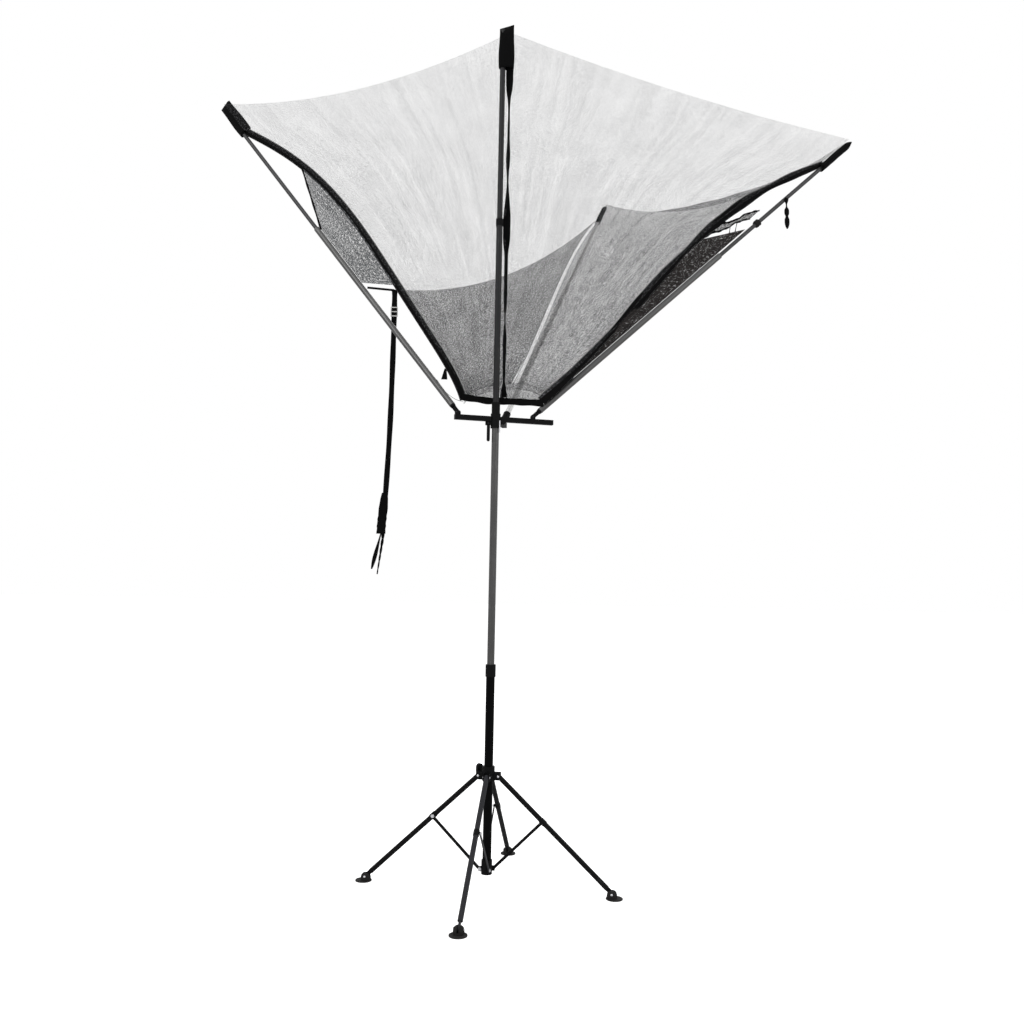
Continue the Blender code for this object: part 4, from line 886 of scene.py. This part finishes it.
BAND_TWISTS = {"front": ((8, 31, 0), (4, 57, 0)), "left": ((4, 9, 0),),
               "right": ((22, 14, 0), (12, 33, 1)), "back": ((3, 12, 0),)}
FRONT_EDGE_ON = 69
FRONT_FLAT_PLACE = 0.53
FRONT_FLAT_SPREAD = 0.07
TAPE_THICKNESS = 0.0008
TAPE_LIFT = 0.0012
TAPE_PLACE = 0.93
TAPE_SHARE = 0.07
PIPING_HALF = 0.0016
PIPING_GAP = 0.0014
PIPING_THICKNESS = 0.0026
STITCH_LIFT = 0.00085
WING_HEM_POINTS = 17
WING_HEM_HALF = 0.0045
WING_HEM_WAVE = (0.0010, 1.3, 0)
SLOPE_STEP = 0.01
RIM_STRETCHES = [("left", "front", 16), ("front", "right", 14)]
REAR_STRETCHES = [("right", "back", 28), ("back", "left", 28)]
RIM_HALF = 0.015
RIM_WAVE = (0.0012, 0.9, 0)
RIM_THICKNESS = 0.0024
RIM_ENDS = (Vector((-0.009, 0, 0)), Vector((0.011, 0, 0)))
RIM_LEFT_RISE = 0.016
RISING_POINTS = 11
RIM_RIGHT_DROP = 0.005
DROP_START = 18
DROPPING_POINTS = 14
REAR_HEM_LIFT = 0.0006
REAR_HEM_HOLE = 0.0036
REAR_HEM_STEP = 0.0125
REAR_CORD_THICKNESS = 0.0014
REAR_CORD_PLACE = -0.93
REAR_CORD_SHARE = 0.05

# Ribs of weft and slanted warp floats on a map in metres, with painted shade in the hollows.
WEAVE, given, result = open_group(
    "woven_webbing", {"Vector": ["Vector"], "Float": ["Pitch"], "Color": ["Dark", "Light"]},
    {"Color": ["Color"], "Float": ["Height"]})
split = add_node(WEAVE, "SeparateXYZ", {"Vector": given["Vector"]})
weft, warp = (reckon(WEAVE, "SINE", reckon(
    WEAVE, "DIVIDE", split[way], reckon(WEAVE, "MULTIPLY", given["Pitch"], share / math.tau)))
    for way, share in (("X", 1.0), ("Y", WARP_FLATTENING)))
height = reckon(WEAVE, "MULTIPLY_ADD", reckon(WEAVE, "MULTIPLY", weft, 0.5), warp, 0.5)
fluff = mottle(WEAVE, given["Vector"], scale=180.0, detail=5.0)
# The colour follows the relief's height: painted shade in the weave's hollows.
feed(WEAVE, result, {"Height": height, "Color": mix(
    WEAVE, reckon(WEAVE, "MULTIPLY", height, fluff), given["Dark"], given["Light"])})


def webbing_finish(name, dark, light, pitch=0.0016):
    """Woven webbing with a fine relief."""
    material, tree, shader = open_material(name)
    weave = add_node(tree, "Group", {
        "Vector": add_node(tree, "UVMap", {}, uv_map="cloth")["UV"], "Pitch": pitch,
        "Dark": (*dark, 1), "Light": (*light, 1)}, node_tree=WEAVE)
    feed(tree, shader, {"Base Color": weave["Color"], "Roughness": 0.92,
                        "Specular IOR Level": 0.06, "Sheen Weight": 0.01,
                        "Normal": relief(tree, weave["Height"], strength=0.6, depth=0.0006)})
    return material


WEBBING = webbing_finish("black_webbing", *BLACK_WEAVE)
PALE_THREAD = webbing_finish("pale_thread", *PALE_WEAVE, pitch=0.0006)
NET_STRIP = net_finish("sparse_net_strip", 0.07, 0.04, (0.030, 0.030, 0.032))
NET_HEM = net_finish("doubled_net_hem", 0.26, 0.26, REAR_BLACK, hole=REAR_HEM_HOLE)


def sewn_strip(name, frames, thickness, columns=2, material=WEBBING):
    """Webbing through frames of a centre, a half width and a normal, with thin selvedges."""
    steps = [-1 + 2 * j / columns for j in range(columns + 1)]
    ring = [(s, (SELVEDGE_SHARE if abs(s) == 1 else 0.5) * thickness) for s in steps]
    ring += [(s, -h) for s, h in reversed(ring)]
    count, last = len(ring), len(frames) - 1
    travelled = climb_along([centre for centre, _, _ in frames])
    vertices = [centre + half * s + normal * h for centre, half, normal in frames for s, h in ring]
    places = [(half.length * s, height) for (_, half, _), height in zip(frames, travelled)
              for s, _ in ring]
    faces = [(i * count + j, i * count + (j + 1) % count, (i + 1) * count + (j + 1) % count,
              (i + 1) * count + j) for i in range(last) for j in range(count)]
    faces += [tuple(range(count)), tuple(last * count + j for j in reversed(range(count)))]
    strip = cloth_piece(name, vertices, faces, {"cloth": places}, material,
                        face_outwards)
    strip.data.set_sharp_from_angle(angle=math.radians(SHARP_ANGLE))
    return strip


def netting_strip(name, frames, lift, half, step, material):
    """A narrow strip of netting through frames, stretched between the pieces it rests on."""
    shares = (-1, -0.5, 0, 0.5, 1)
    rows = [[centre + across * s + normal * lift for s in shares]
            for centre, across, normal in frames]
    flat = [[(half * s, step * i) for s in shares] for i in range(len(frames))]
    strip = cloth_sheet(name, rows, flat, material)
    return strip


def stitch_row(name, frames):
    """A row of lockstitches, each a short raised thread, along a strip."""
    vertices, faces, places = [], [], []
    travelled, due = 0.0, 0.0
    for (centre, side, normal), (next_centre, next_side, next_normal) in zip(frames, frames[1:]):
        step = next_centre - centre
        while due < travelled + step.length:
            share = (due - travelled) / step.length
            middle = centre + step * share
            along = step.normalized() * (STITCH_LONG / 2)
            beside = side.lerp(next_side, share).normalized() * (STITCH_WIDE / 2)
            lift = normal.lerp(next_normal, share).normalized() * STITCH_HIGH
            start = len(vertices)
            vertices += [middle - along, middle + along, middle + beside, middle - beside,
                         middle + lift]
            faces += [(start + a, start + b, start + 4)
                      for a, b in ((0, 2), (2, 1), (1, 3), (3, 0))]
            places += [(0, due), (0, due + STITCH_LONG), (STITCH_WIDE, due), (-STITCH_WIDE, due),
                       (0, due + STITCH_LONG / 2)]
            due += STITCH_PITCH
        travelled += step.length
    return cloth_piece(name, vertices, faces, {"cloth": places}, PALE_THREAD)


def beside(frames, place, lift, share, face=1):
    """Frames at a place across a strip, lifted off one of its faces and narrowed to a share."""
    return [(centre + half * place + normal * (face * lift), half * share, normal * face)
            for centre, half, normal in frames]


def waves(place, *terms):
    """The sum at a place of waves, each with a size, a rate and a phase."""
    return sum(size * math.sin(rate * place + phase) for size, rate, phase in terms)


def seam_frame(side, share):
    """Centre, level direction across and normal of a seam's band at a share."""
    ahead = seam_point(side, min(1, share + SLOPE_STEP))
    behind = seam_point(side, max(0, min(1, share) - SLOPE_STEP))
    along = (ahead - behind).normalized()
    centre = seam_point(side, min(share, 1)) + along * (max(0, share - 1) * NET_LENGTH)
    across = seam_across(side)
    if side in ("left", "right"):
        across = seam_point("front", share) - centre
        across = (across - along * across.dot(along)).normalized()
    return centre, across, across.cross(along).normalized()


def band_shape(side, share):
    """Half width and twist in degrees of a seam's band at a share of its length."""
    half, twist = BAND_HALF[side], waves(share, *BAND_TWISTS[side])
    if side == "front":
        flat = math.exp(-((share - FRONT_FLAT_PLACE) / FRONT_FLAT_SPREAD) ** 2)
        twist += FRONT_EDGE_ON * (1 - flat)
    if side == "right":
        half += waves(share, *RIGHT_HALF_WAVES)
        half *= min(1, RIGHT_END_SHARE + RIGHT_TAPER * max(0, BAND_TOP["right"] - share))
    return half, twist * max(0, min(1, share / BAND_END_SHARE, (1 - share) / BAND_END_SHARE))


def band_frames(side):
    """The frames of a seam's band, from the rim's webbing to under the pocket."""
    low = SEAM_FOOT_GAP[side] / (seam_top(side) - RIM_CORNER[side]).length
    frames = []
    for i in range(BAND_ROWS + 1):
        share = low + (BAND_TOP[side] - low) * i / BAND_ROWS
        centre, across, normal = seam_frame(side, share)
        half, twist = band_shape(side, share)
        turned = Matrix.Rotation(math.radians(twist), 3, across.cross(normal))
        frames.append((centre, turned @ across * half, turned @ normal))
    return frames


front_frames = band_frames("front")
front_band = sewn_strip("seam_band_front_webbing", front_frames, BAND_THICKNESS, columns=6)
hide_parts("seam_band_front")
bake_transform(front_band)

for side in ("left", "right"):
    frames = band_frames(side)
    band = sewn_strip(f"seam_band_{side}_webbing", frames, BAND_THICKNESS, columns=6)
    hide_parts(f"seam_band_{side}")
    fold_with_rib(band)
    piping_frames = [(centre + half.normalized() * (half.length + PIPING_GAP),
                      half.normalized() * PIPING_HALF, normal) for centre, half, normal in frames]
    piping = sewn_strip(f"seam_{side}_piping", piping_frames, PIPING_THICKNESS,
                        material=PALE_THREAD)
    fold_with_rib(piping)
    for edge in (-STITCH_EDGE, STITCH_EDGE):
        for face in (-1, 1):
            stitches = stitch_row(f"seam_{side}_stitches_{edge}_{face}",
                                  beside(frames, edge, STITCH_LIFT, 1, face))
            fold_with_rib(stitches)

rear_frames = band_frames("back")
rear_band = netting_strip("seam_band_back_strip", rear_frames, 0, BAND_HALF["back"],
                          NET_LENGTH / BAND_ROWS, NET_STRIP)
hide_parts("seam_band_back")
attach(rear_band, "mast")
for hand in (-1, 1):
    tape = sewn_strip(f"seam_band_back_tape_{hand}",
                      beside(rear_frames, hand * TAPE_PLACE, TAPE_LIFT, TAPE_SHARE),
                      TAPE_THICKNESS)
    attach(tape, "mast")

wing_edge = [wing_point("left", i / (WING_HEM_POINTS - 1), 1) for i in range(WING_HEM_POINTS)]
edge_across = (wing_edge[-1] - wing_edge[0]).normalized().cross(rib_side("left"))
wing_hem = sewn_strip("wing_left_hem",
                      [(point, edge_across * (WING_HEM_HALF + waves(i, WING_HEM_WAVE)),
                        rib_side("left")) for i, point in enumerate(wing_edge)], BAND_THICKNESS)
fold_with_rib(wing_hem)


def rim_frames(stretches):
    """Points, half widths and outward directions along part of the rim."""
    route = [rim_point(corner_a, corner_b, i / count) for corner_a, corner_b, count in stretches
             for i in range(count)]
    route.append(rim_point(stretches[-1][0], stretches[-1][1], 1))
    frames = []
    for i, point in enumerate(route):
        ahead = route[min(i + 1, len(route) - 1)] - route[max(i - 1, 0)]
        frames.append((point, Vector((0, 0, RIM_HALF + waves(i, RIM_WAVE))),
                       Vector((ahead.y, -ahead.x, 0)).normalized()))
    return frames


def fold_with_rim(piece):
    """Bake a piece's transform into its mesh."""
    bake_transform(piece)


rim = rim_frames(RIM_STRETCHES)
rim = [(rim[0][0] + RIM_ENDS[0], *rim[0][1:]), *rim, (rim[-1][0] + RIM_ENDS[1], *rim[-1][1:])]
for i, (point, _, _) in enumerate(rim):
    point.z += RIM_LEFT_RISE * max(0, 1 - i / RISING_POINTS)
    point.z -= RIM_RIGHT_DROP * max(0, (i - DROP_START) / DROPPING_POINTS)
rim_band = sewn_strip("rim_band_webbing", rim, RIM_THICKNESS, columns=6)
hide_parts("rim_band")
fold_with_rim(rim_band)
rear_rim = rim_frames(REAR_STRETCHES)
rear_hem = netting_strip("rim_rear_hem", rear_rim, REAR_HEM_LIFT, RIM_HALF, REAR_HEM_STEP, NET_HEM)
fold_with_rim(rear_hem)
rear_cord = sewn_strip("rim_rear_cord", beside(rear_rim, REAR_CORD_PLACE, 0, REAR_CORD_SHARE),
                       REAR_CORD_THICKNESS)
fold_with_rim(rear_cord)

# Frayed hem and ties beside the right wing
# A loose strip of the same mesh between two hems stands above the right wing, held to it by
# two threads. A rubber lashing on the rib holds the wing's corner.
LOOSE_SHARES = {"low": (0.735, 0.600), "top": (0.765, 0.640)}
LOOSE_GAP = 0.004
LOOSE_WAVES = ((0.004, 17, 0), (0.002, 41, 0))
LOOSE_POINTS = 25
LOOSE_REACH = 0.73
LOOSE_CUT = (0.013, 0.0115)
LOOSE_HEM_HALF = 0.0036
LOOSE_HEM_WAVE = (0.0014, 2.1, 0)
LOOSE_HEM_THICKNESS = 0.002
FRAY_HALF = 0.0040
FRAYED_POINTS = 7
TIE_PLACES = ((0.56, 0.34), (0.46, 0.22))
TIE_THREAD_POINTS = 7
TIE_THREAD_HALF = 0.0012
TIE_THREAD_THICKNESS = 0.0016
TOWARDS_FRONT = Vector((0, -1, 0))
LASHING_SHARE = 0.686
LASHING_PITCH = 0.0030
LASHING_HALF = 0.0034
LASHING_GAP = 0.0036
LASHING_STAGGER = 0.0012
LASHING_TILTS = (4, 1, -2, -5)


def loose_point(line, across):
    """A point on one of the loose strip's two hems, from the seam (1) towards the rib (0)."""
    on_rib, on_seam = LOOSE_SHARES[line]
    outer = rib_point("right", on_rib, RIB_RADIUS["upper"] + LOOSE_GAP)
    inner = seam_point("right", on_seam) - rib_up("right") * LOOSE_GAP
    return outer.lerp(inner, across) + Vector((0, 0, waves(across, *LOOSE_WAVES)))


loose_places = [1 - LOOSE_REACH * i / (LOOSE_POINTS - 1) for i in range(LOOSE_POINTS)]
loose_rows = [[loose_point("low", place).lerp(loose_point("top", place), j / 4)
               for j in range(5)] for place in loose_places]
loose_flat = [[(LOOSE_CUT[0] * j, LOOSE_CUT[1] * i) for j in range(5)]
              for i in range(LOOSE_POINTS)]
loose_strip = cloth_sheet("wing_right_loose_strip", loose_rows, loose_flat,
                          net_finish("loose_mesh_strip", 0.58, 0.58, (0.012, 0.012, 0.012),
                                     hole=WING_HOLE))
fold_with_rib(loose_strip)
for line in ("low", "top"):
    loose_hem = sewn_strip(f"wing_right_loose_hem_{line}",
                           [(loose_point(line, place),
                             Vector((0, 0, LOOSE_HEM_HALF + waves(i, LOOSE_HEM_WAVE)
                                     + FRAY_HALF * math.exp(-i / FRAYED_POINTS))),
                             TOWARDS_FRONT) for i, place in enumerate(loose_places)],
                           LOOSE_HEM_THICKNESS)
    fold_with_rib(loose_hem)
tie_shares = [i / (TIE_THREAD_POINTS - 1) for i in range(TIE_THREAD_POINTS)]
for tie_index, (on_strip, on_wing) in enumerate(TIE_PLACES):
    tie_top, tie_foot = loose_point("low", on_strip), wing_point("right", on_wing, 1.0)
    tie_thread = sewn_strip(f"wing_right_tie_{tie_index}",
                            [(tie_top.lerp(tie_foot, share),
                              Vector((TIE_THREAD_HALF * (1 + abs(2 * share - 1)), 0, 0)),
                              TOWARDS_FRONT) for share in tie_shares], TIE_THREAD_THICKNESS)
    fold_with_rib(tie_thread)
lashings = []
for lash_index, lash_tilt in enumerate(LASHING_TILTS):
    bpy.ops.object.select_all(action="DESELECT")
    bpy.ops.mesh.primitive_torus_add(
        major_radius=RIB_RADIUS["upper"] + LASHING_GAP + LASHING_STAGGER * (lash_index % 2),
        minor_radius=LASHING_HALF, major_segments=28, minor_segments=10,
        location=rib_point("right", LASHING_SHARE + LASHING_PITCH * lash_index),
        rotation=(0, math.radians(RIB_LEANS["right"] + lash_tilt),
                  math.radians(RIB_TURNS["right"])))
    bpy.context.object.data.materials.append(RUBBER)
    bpy.context.object.data.shade_smooth()
    lashings.append(bpy.context.object)
lashing = join_pieces(lashings, "rib_right_lashing")
bpy.ops.object.transform_apply(location=True, rotation=True, scale=True)
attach(lashing, "right_rib")

# Pockets on the tips
# Sleeves of doubled webbing, closed and bar-tacked at the top, pulled over the tube's tip.
# The front and the left one sit to one side of their tubes.
POCKET_LEVELS = 18
POCKET_SECTIONS = 28
POCKET_WALL = 0.0014
POCKET_ABOVE_TIP = 0.0015
POCKET_WIDE = {"front": 0.034, "left": 0.034, "right": 0.027, "back": 0.0145}
POCKET_THICK = {"front": 0.0165, "left": 0.0165, "right": 0.0165, "back": 0.0125}
POCKET_EARS = {"front": (0.012, 0.026), "left": (0.010, 0.006)}
EAR_PLACE = 0.4
EAR_START = 0.75
SHORTER_FRONT = 0.86
POCKET_SHIFT = {"front": 0.016, "left": 0.015}
FLARE_WAVE = (0.06, 5, 0)
NARROWING_START = 0.9
SQUEEZE = 0.55
SQUEEZE_START = 0.86
PUCKER = 0.0008
POCKET_ROUND = 1.6
TIP_FRAMES = {side: (rib_point(side, 1), rib_line(side), rib_side(side), rib_up(side))
              for side in ("left", "right", "back")}
TIP_FRAMES["front"] = (MAST + Vector((0, 0, MAST_TOP_Z)), Vector((0, 0, 1)), Vector((1, 0, 0)),
                       Vector((0, 1, 0)))
for side, (tip, axis, across, up) in TIP_FRAMES.items():
    if side == "left":
        across, up = up, across
    shift = across * POCKET_SHIFT.get(side, 0)
    sleeve = POCKET_LENGTH * (SHORTER_FRONT if side == "front" else 1)
    vertices, places = [], []
    for i in range(POCKET_LEVELS + 1):
        height = i / POCKET_LEVELS
        flare = 1 + waves(height, FLARE_WAVE)
        if side not in POCKET_EARS:
            flare -= max(0, height - NARROWING_START)
        squeeze = 1 - SQUEEZE * max(0, (height - SQUEEZE_START) / (1 - SQUEEZE_START)) ** 2
        centre = tip + axis * (POCKET_ABOVE_TIP + (height - 1) * sleeve) + shift
        for j in range(POCKET_SECTIONS):
            turn = math.tau * j / POCKET_SECTIONS
            wide = POCKET_WIDE[side] * flare * math.cos(turn)
            thick = POCKET_THICK[side] * squeeze * math.sin(turn)
            thick += PUCKER * math.sin(6 * turn + 9 * height)
            ear = POCKET_EARS.get(side, (0, 0))[math.cos(turn) > -EAR_PLACE]
            ear *= max(0, height - EAR_START) / (1 - EAR_START)
            ear *= abs(math.cos(turn) + EAR_PLACE) / (1 + EAR_PLACE)
            vertices.append(centre + across * wide + up * thick + axis * ear)
            places.append((POCKET_WIDE[side] * turn / POCKET_ROUND, height * sleeve))
    faces = [(i + j, i + (j + 1) % POCKET_SECTIONS,
              i + POCKET_SECTIONS + (j + 1) % POCKET_SECTIONS, i + POCKET_SECTIONS + j)
             for i in range(0, POCKET_LEVELS * POCKET_SECTIONS, POCKET_SECTIONS)
             for j in range(POCKET_SECTIONS)]
    faces.append(tuple(range(POCKET_LEVELS * POCKET_SECTIONS,
                             (POCKET_LEVELS + 1) * POCKET_SECTIONS)))
    pocket = cloth_piece(f"pocket_{side}_sleeve", vertices, faces, {"cloth": places}, WEBBING,
                         face_outwards)
    wall = pocket.modifiers.new("wall", "SOLIDIFY")
    wall.thickness = POCKET_WALL
    wall.offset = -1
    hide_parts(f"pocket_{side}")
    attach(pocket, {"front": "mast_top", "back": "mast"}.get(side, f"{side}_rib"))

# Straps
# The long strap hangs from a tie between the left rib and its seam, and ends in a folded,
# stitched bundle. A short strap hangs from the right rib near its tip.
TIE_SHARE = (0.37, 0.335)
TIE_HALF = 0.00225
SEAM_HALF_THICK = 0.001
STRAP_HALF_THICK = 0.0015
RIB_GAP = 0.0006
SEAM_GAP = 0.0015
TIE_GAP = 0.0009
HANG_GAP = 0.0016
HANG_SHARE = 0.85
HANG_LIFT = Vector((0, 0, 0.004))
TIE_START = 0.006
TIE_HALF_WIDTH = 0.005
TIE_THICKNESS = 0.002
TIE_STEP = 0.0124
TIE_POINTS = 11
STRAP_WIDTH = 0.023
LONG_DROPS = [(0, 0), (0.0005, 0.080), (-0.0010, 0.340), (-0.0060, 0.640), (-0.0180, 0.940),
              (-0.0290, 1.080)]
LONG_STEPS = 40
STRAP_THICKNESS = 0.0024
STRAP_FULLNESS = 1.08
STRAP_WAVE = (0.06, 0.9, 0)
TAIL_POINTS = 20
TAIL_HALF = 0.0085
TAIL_TAPER = 0.0003
TAIL_LEAST = 0.0022
TAIL_PINCH = 0.30
TAIL_ASIDE = 0.006
TAIL_CLOSING = 0.0010
BUNDLE_START = 32
BUNDLE_DROP = Vector((0, 0, -0.0009))
BUNDLE_STEP = Vector((-0.0005, 0, -0.0115))
BUNDLE_HALF = 0.0125
BUNDLE_SWELL = 0.0075
BUNDLE_WAVE = (0.0012, 2.3, 0)
BUNDLE_THICKNESS = 0.011
BUNDLE_ASIDE = 0.004
LEFT_TAIL_POINTS = 15
LEFT_TAIL_SPREAD = 0.0022
LEFT_TAIL_HALF = (0.0030, 0.0065)
LEFT_TAIL_THICKNESS = 0.0036
SLIDER_PLACE = 9
SLIDER_HALF_THICK = 0.0019
SLIDER_BEHIND = 0.0024
SLIDER_EDGE = 0.0008
SLIDER_BARS = ((0, 0.020, 0.0165, 0.0022), (0, 0, 0.0165, 0.0020), (0, -0.020, 0.0165, 0.0022),
               (-0.0152, 0, 0.0016, 0.0222), (0.0152, 0, 0.0016, 0.0222))
CORD_DIAMETER = 0.0026
CORD_SHARE = 0.088
CORD_ABOVE_RIB = 0.0016
CORD_END = Vector((-0.004, 0, -0.004))
CORD_DROPS = ((0.35, Vector((0, 0, -0.022))), (0.72, Vector((0, 0, -0.018))))
CORD_STEPS = 20
TAB_SHARE = 0.092
TAB_STEP = Vector((-0.0006, 0, -0.0062))
TAB_HALF = (0.0045, 0.0012)
TAB_THICKNESS = 0.0020
SHORT_SHARE = 0.785
SHORT_GAP = 0.0045
SHORT_DRIFT = 0.006
SHORT_THICKNESS = 0.0040
SHORT_LENGTH = 0.15
SHORT_HALVES = [0.0075, 0.0095, 0.0100, 0.0095, 0.0075, 0.0045, 0.0028, 0.0028, 0.0045, 0.0095,
                0.0110, 0.0112, 0.0110, 0.0095, 0.0060, 0.0072, 0.0108, 0.0114, 0.0115, 0.0112,
                0.0104, 0.0085, 0.0065, 0.0045, 0.0025]
PALE_PLASTIC = coated_finish("pale_grey_plastic", (0.42, 0.42, 0.41), (0.60, 0.60, 0.58),
                             (0.40, 0.60), grain=1400.0, patch=30.0, bump=0.15, rub=0.2,
                             rub_colour=(0.34, 0.33, 0.31))


def smooth_route(points, steps):
    """Even samples of a smooth curve through a hanging strap's own points."""
    samples = []
    for i in range(steps + 1):
        place = (len(points) - 1) * i / steps
        start = min(int(place), len(points) - 2)
        u = place - start
        a, b, c, d = (Vector(points[min(max(start + k, 0), len(points) - 1)])
                      for k in (-1, 0, 1, 2))
        sample = b * 2 + (c - a) * u + (a * 2 - b * 5 + c * 4 - d) * u ** 2
        sample += (b * 3 - a - c * 3 + d) * u ** 3
        samples.append(sample / 2)
    return samples


tie_outer = rib_point("left", TIE_SHARE[0], RIB_RADIUS["lower"] + TIE_HALF + RIB_GAP)
tie_inner = seam_point("left", TIE_SHARE[1])
tie_inner -= rib_up("left") * (SEAM_HALF_THICK + TIE_HALF + SEAM_GAP)
tie_line = (tie_inner - tie_outer).normalized()
tie_level = Vector((tie_line.x, tie_line.y, 0)).normalized()
tie_back = Vector((-tie_level.y, tie_level.x, 0))
tie_off = tie_back * (TIE_HALF + SEAM_HALF_THICK + TIE_GAP)
hang = tie_outer.lerp(tie_inner, HANG_SHARE) + tie_off + HANG_LIFT
hang += tie_back * (SEAM_HALF_THICK + STRAP_HALF_THICK + HANG_GAP)
long_points = [hang + Vector((drift, 0, -drop)) for drift, drop in LONG_DROPS]
long_route = smooth_route(long_points, LONG_STEPS)
bundle_route = [long_points[-1] + BUNDLE_DROP + BUNDLE_STEP * i for i in range(TAIL_POINTS + 1)]
strap_halves = [STRAP_WIDTH / 2 * (STRAP_FULLNESS + waves(i, STRAP_WAVE))
                for i in range(LONG_STEPS + 1)]
strap_halves += [max(TAIL_LEAST, (TAIL_HALF - TAIL_TAPER * i) * (1 - TAIL_PINCH * (i % 3 == 2)))
                 for i in range(TAIL_POINTS)]
fold_route = long_route[BUNDLE_START:] + bundle_route[1:5]
long_route += [point + tie_level * (TAIL_ASIDE - TAIL_CLOSING * max(0, i - 6))
               for i, point in enumerate(bundle_route)][1:]
long_strap = sewn_strip("long_strap_webbing",
                        [(point, tie_level * half, tie_back)
                         for point, half in zip(long_route, strap_halves)],
                        STRAP_THICKNESS, columns=4)
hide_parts("long_strap")
fold_with_rib(long_strap)

tie_across = tie_back.cross(tie_line).normalized() * TIE_HALF_WIDTH
tie_strap = sewn_strip("tie_strap_webbing",
                       [(tie_outer + tie_off + tie_line * (TIE_START + i * TIE_STEP), tie_across,
                         tie_back) for i in range(TIE_POINTS)], TIE_THICKNESS)
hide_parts("tie_strap")
fold_with_rib(tie_strap)

bundle = sewn_strip("long_strap_bundle",
                    [(point - tie_level * BUNDLE_ASIDE,
                      tie_level * (BUNDLE_HALF + BUNDLE_SWELL * min(1, i / 2)
                                   + waves(i, BUNDLE_WAVE)), tie_back)
                     for i, point in enumerate(fold_route)], BUNDLE_THICKNESS, columns=6)
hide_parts("long_strap_buckle")
fold_with_rib(bundle)
left_tail_frames = []
for i, point in enumerate(bundle_route[4:4 + LEFT_TAIL_POINTS]):
    bulge = math.sin(math.pi * (i / (LEFT_TAIL_POINTS - 1)) ** 1.6)
    left_tail_frames.append((point - tie_level * (BUNDLE_ASIDE + LEFT_TAIL_SPREAD * i),
                             tie_level * (LEFT_TAIL_HALF[0] + LEFT_TAIL_HALF[1] * bulge),
                             tie_back))
left_tail = sewn_strip("long_strap_left_tail", left_tail_frames, LEFT_TAIL_THICKNESS, columns=4)
fold_with_rib(left_tail)
slider_parts = []
for sideways, drop, half_wide, half_high in SLIDER_BARS:
    bpy.ops.object.select_all(action="DESELECT")
    place = long_route[SLIDER_PLACE] + tie_level * sideways + Vector((0, 0, drop))
    bpy.ops.mesh.primitive_cube_add(size=2, location=place - tie_back * SLIDER_BEHIND,
                                    rotation=(0, 0, math.atan2(tie_level.y, tie_level.x)))
    bar = bpy.context.object
    bar.scale = (half_wide, SLIDER_HALF_THICK, half_high)
    bar.data.materials.append(PALE_PLASTIC)
    slider_parts.append(bar)
slider = join_pieces(slider_parts, "long_strap_slider")
bpy.ops.object.transform_apply(location=True, rotation=True, scale=True)
edges = slider.modifiers.new("soft_edges", "BEVEL")
edges.width = SLIDER_EDGE
edges.segments = 2
fold_with_rib(slider)

cord_start = rib_point("left", CORD_SHARE, RIB_RADIUS["lower"] + CORD_ABOVE_RIB)
cord_end = RIM_CORNER["left"] + CORD_END
cord_sag = [cord_start.lerp(cord_end, share) + drop for share, drop in CORD_DROPS]
cord_route = smooth_route([cord_start, *cord_sag, cord_end], CORD_STEPS)
corner_cord = sewn_strip("rim_left_tie_cord",
                         [(point, Vector((0, 0, CORD_DIAMETER / 2)), TOWARDS_FRONT)
                          for point in cord_route], CORD_DIAMETER, material=PALE_THREAD)
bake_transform(corner_cord)
tab_top = seam_point("left", TAB_SHARE) - seam_frame("left", TAB_SHARE)[1] * BAND_HALF["left"]
tab = sewn_strip("seam_left_tab",
                 [(tab_top + TAB_STEP * i, Vector((TAB_HALF[0] + TAB_HALF[1] * i, 0, 0)),
                   TOWARDS_FRONT) for i in range(9)], TAB_THICKNESS)
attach(tab, "mast")
short_top = rib_point("right", SHORT_SHARE) + TOWARDS_FRONT * (RIB_RADIUS["upper"] + SHORT_GAP)
short_route = smooth_route([short_top + Vector((SHORT_DRIFT, 0, -SHORT_LENGTH)) * share
                            for share in (0, 0.5, 1)], len(SHORT_HALVES) - 1)
short_strap = sewn_strip("short_strap_webbing",
                         [(point, Vector((half, 0, 0)), TOWARDS_FRONT)
                          for point, half in zip(short_route, SHORT_HALVES)],
                         SHORT_THICKNESS, columns=4)
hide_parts("short_strap")
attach(short_strap, "right_rib")
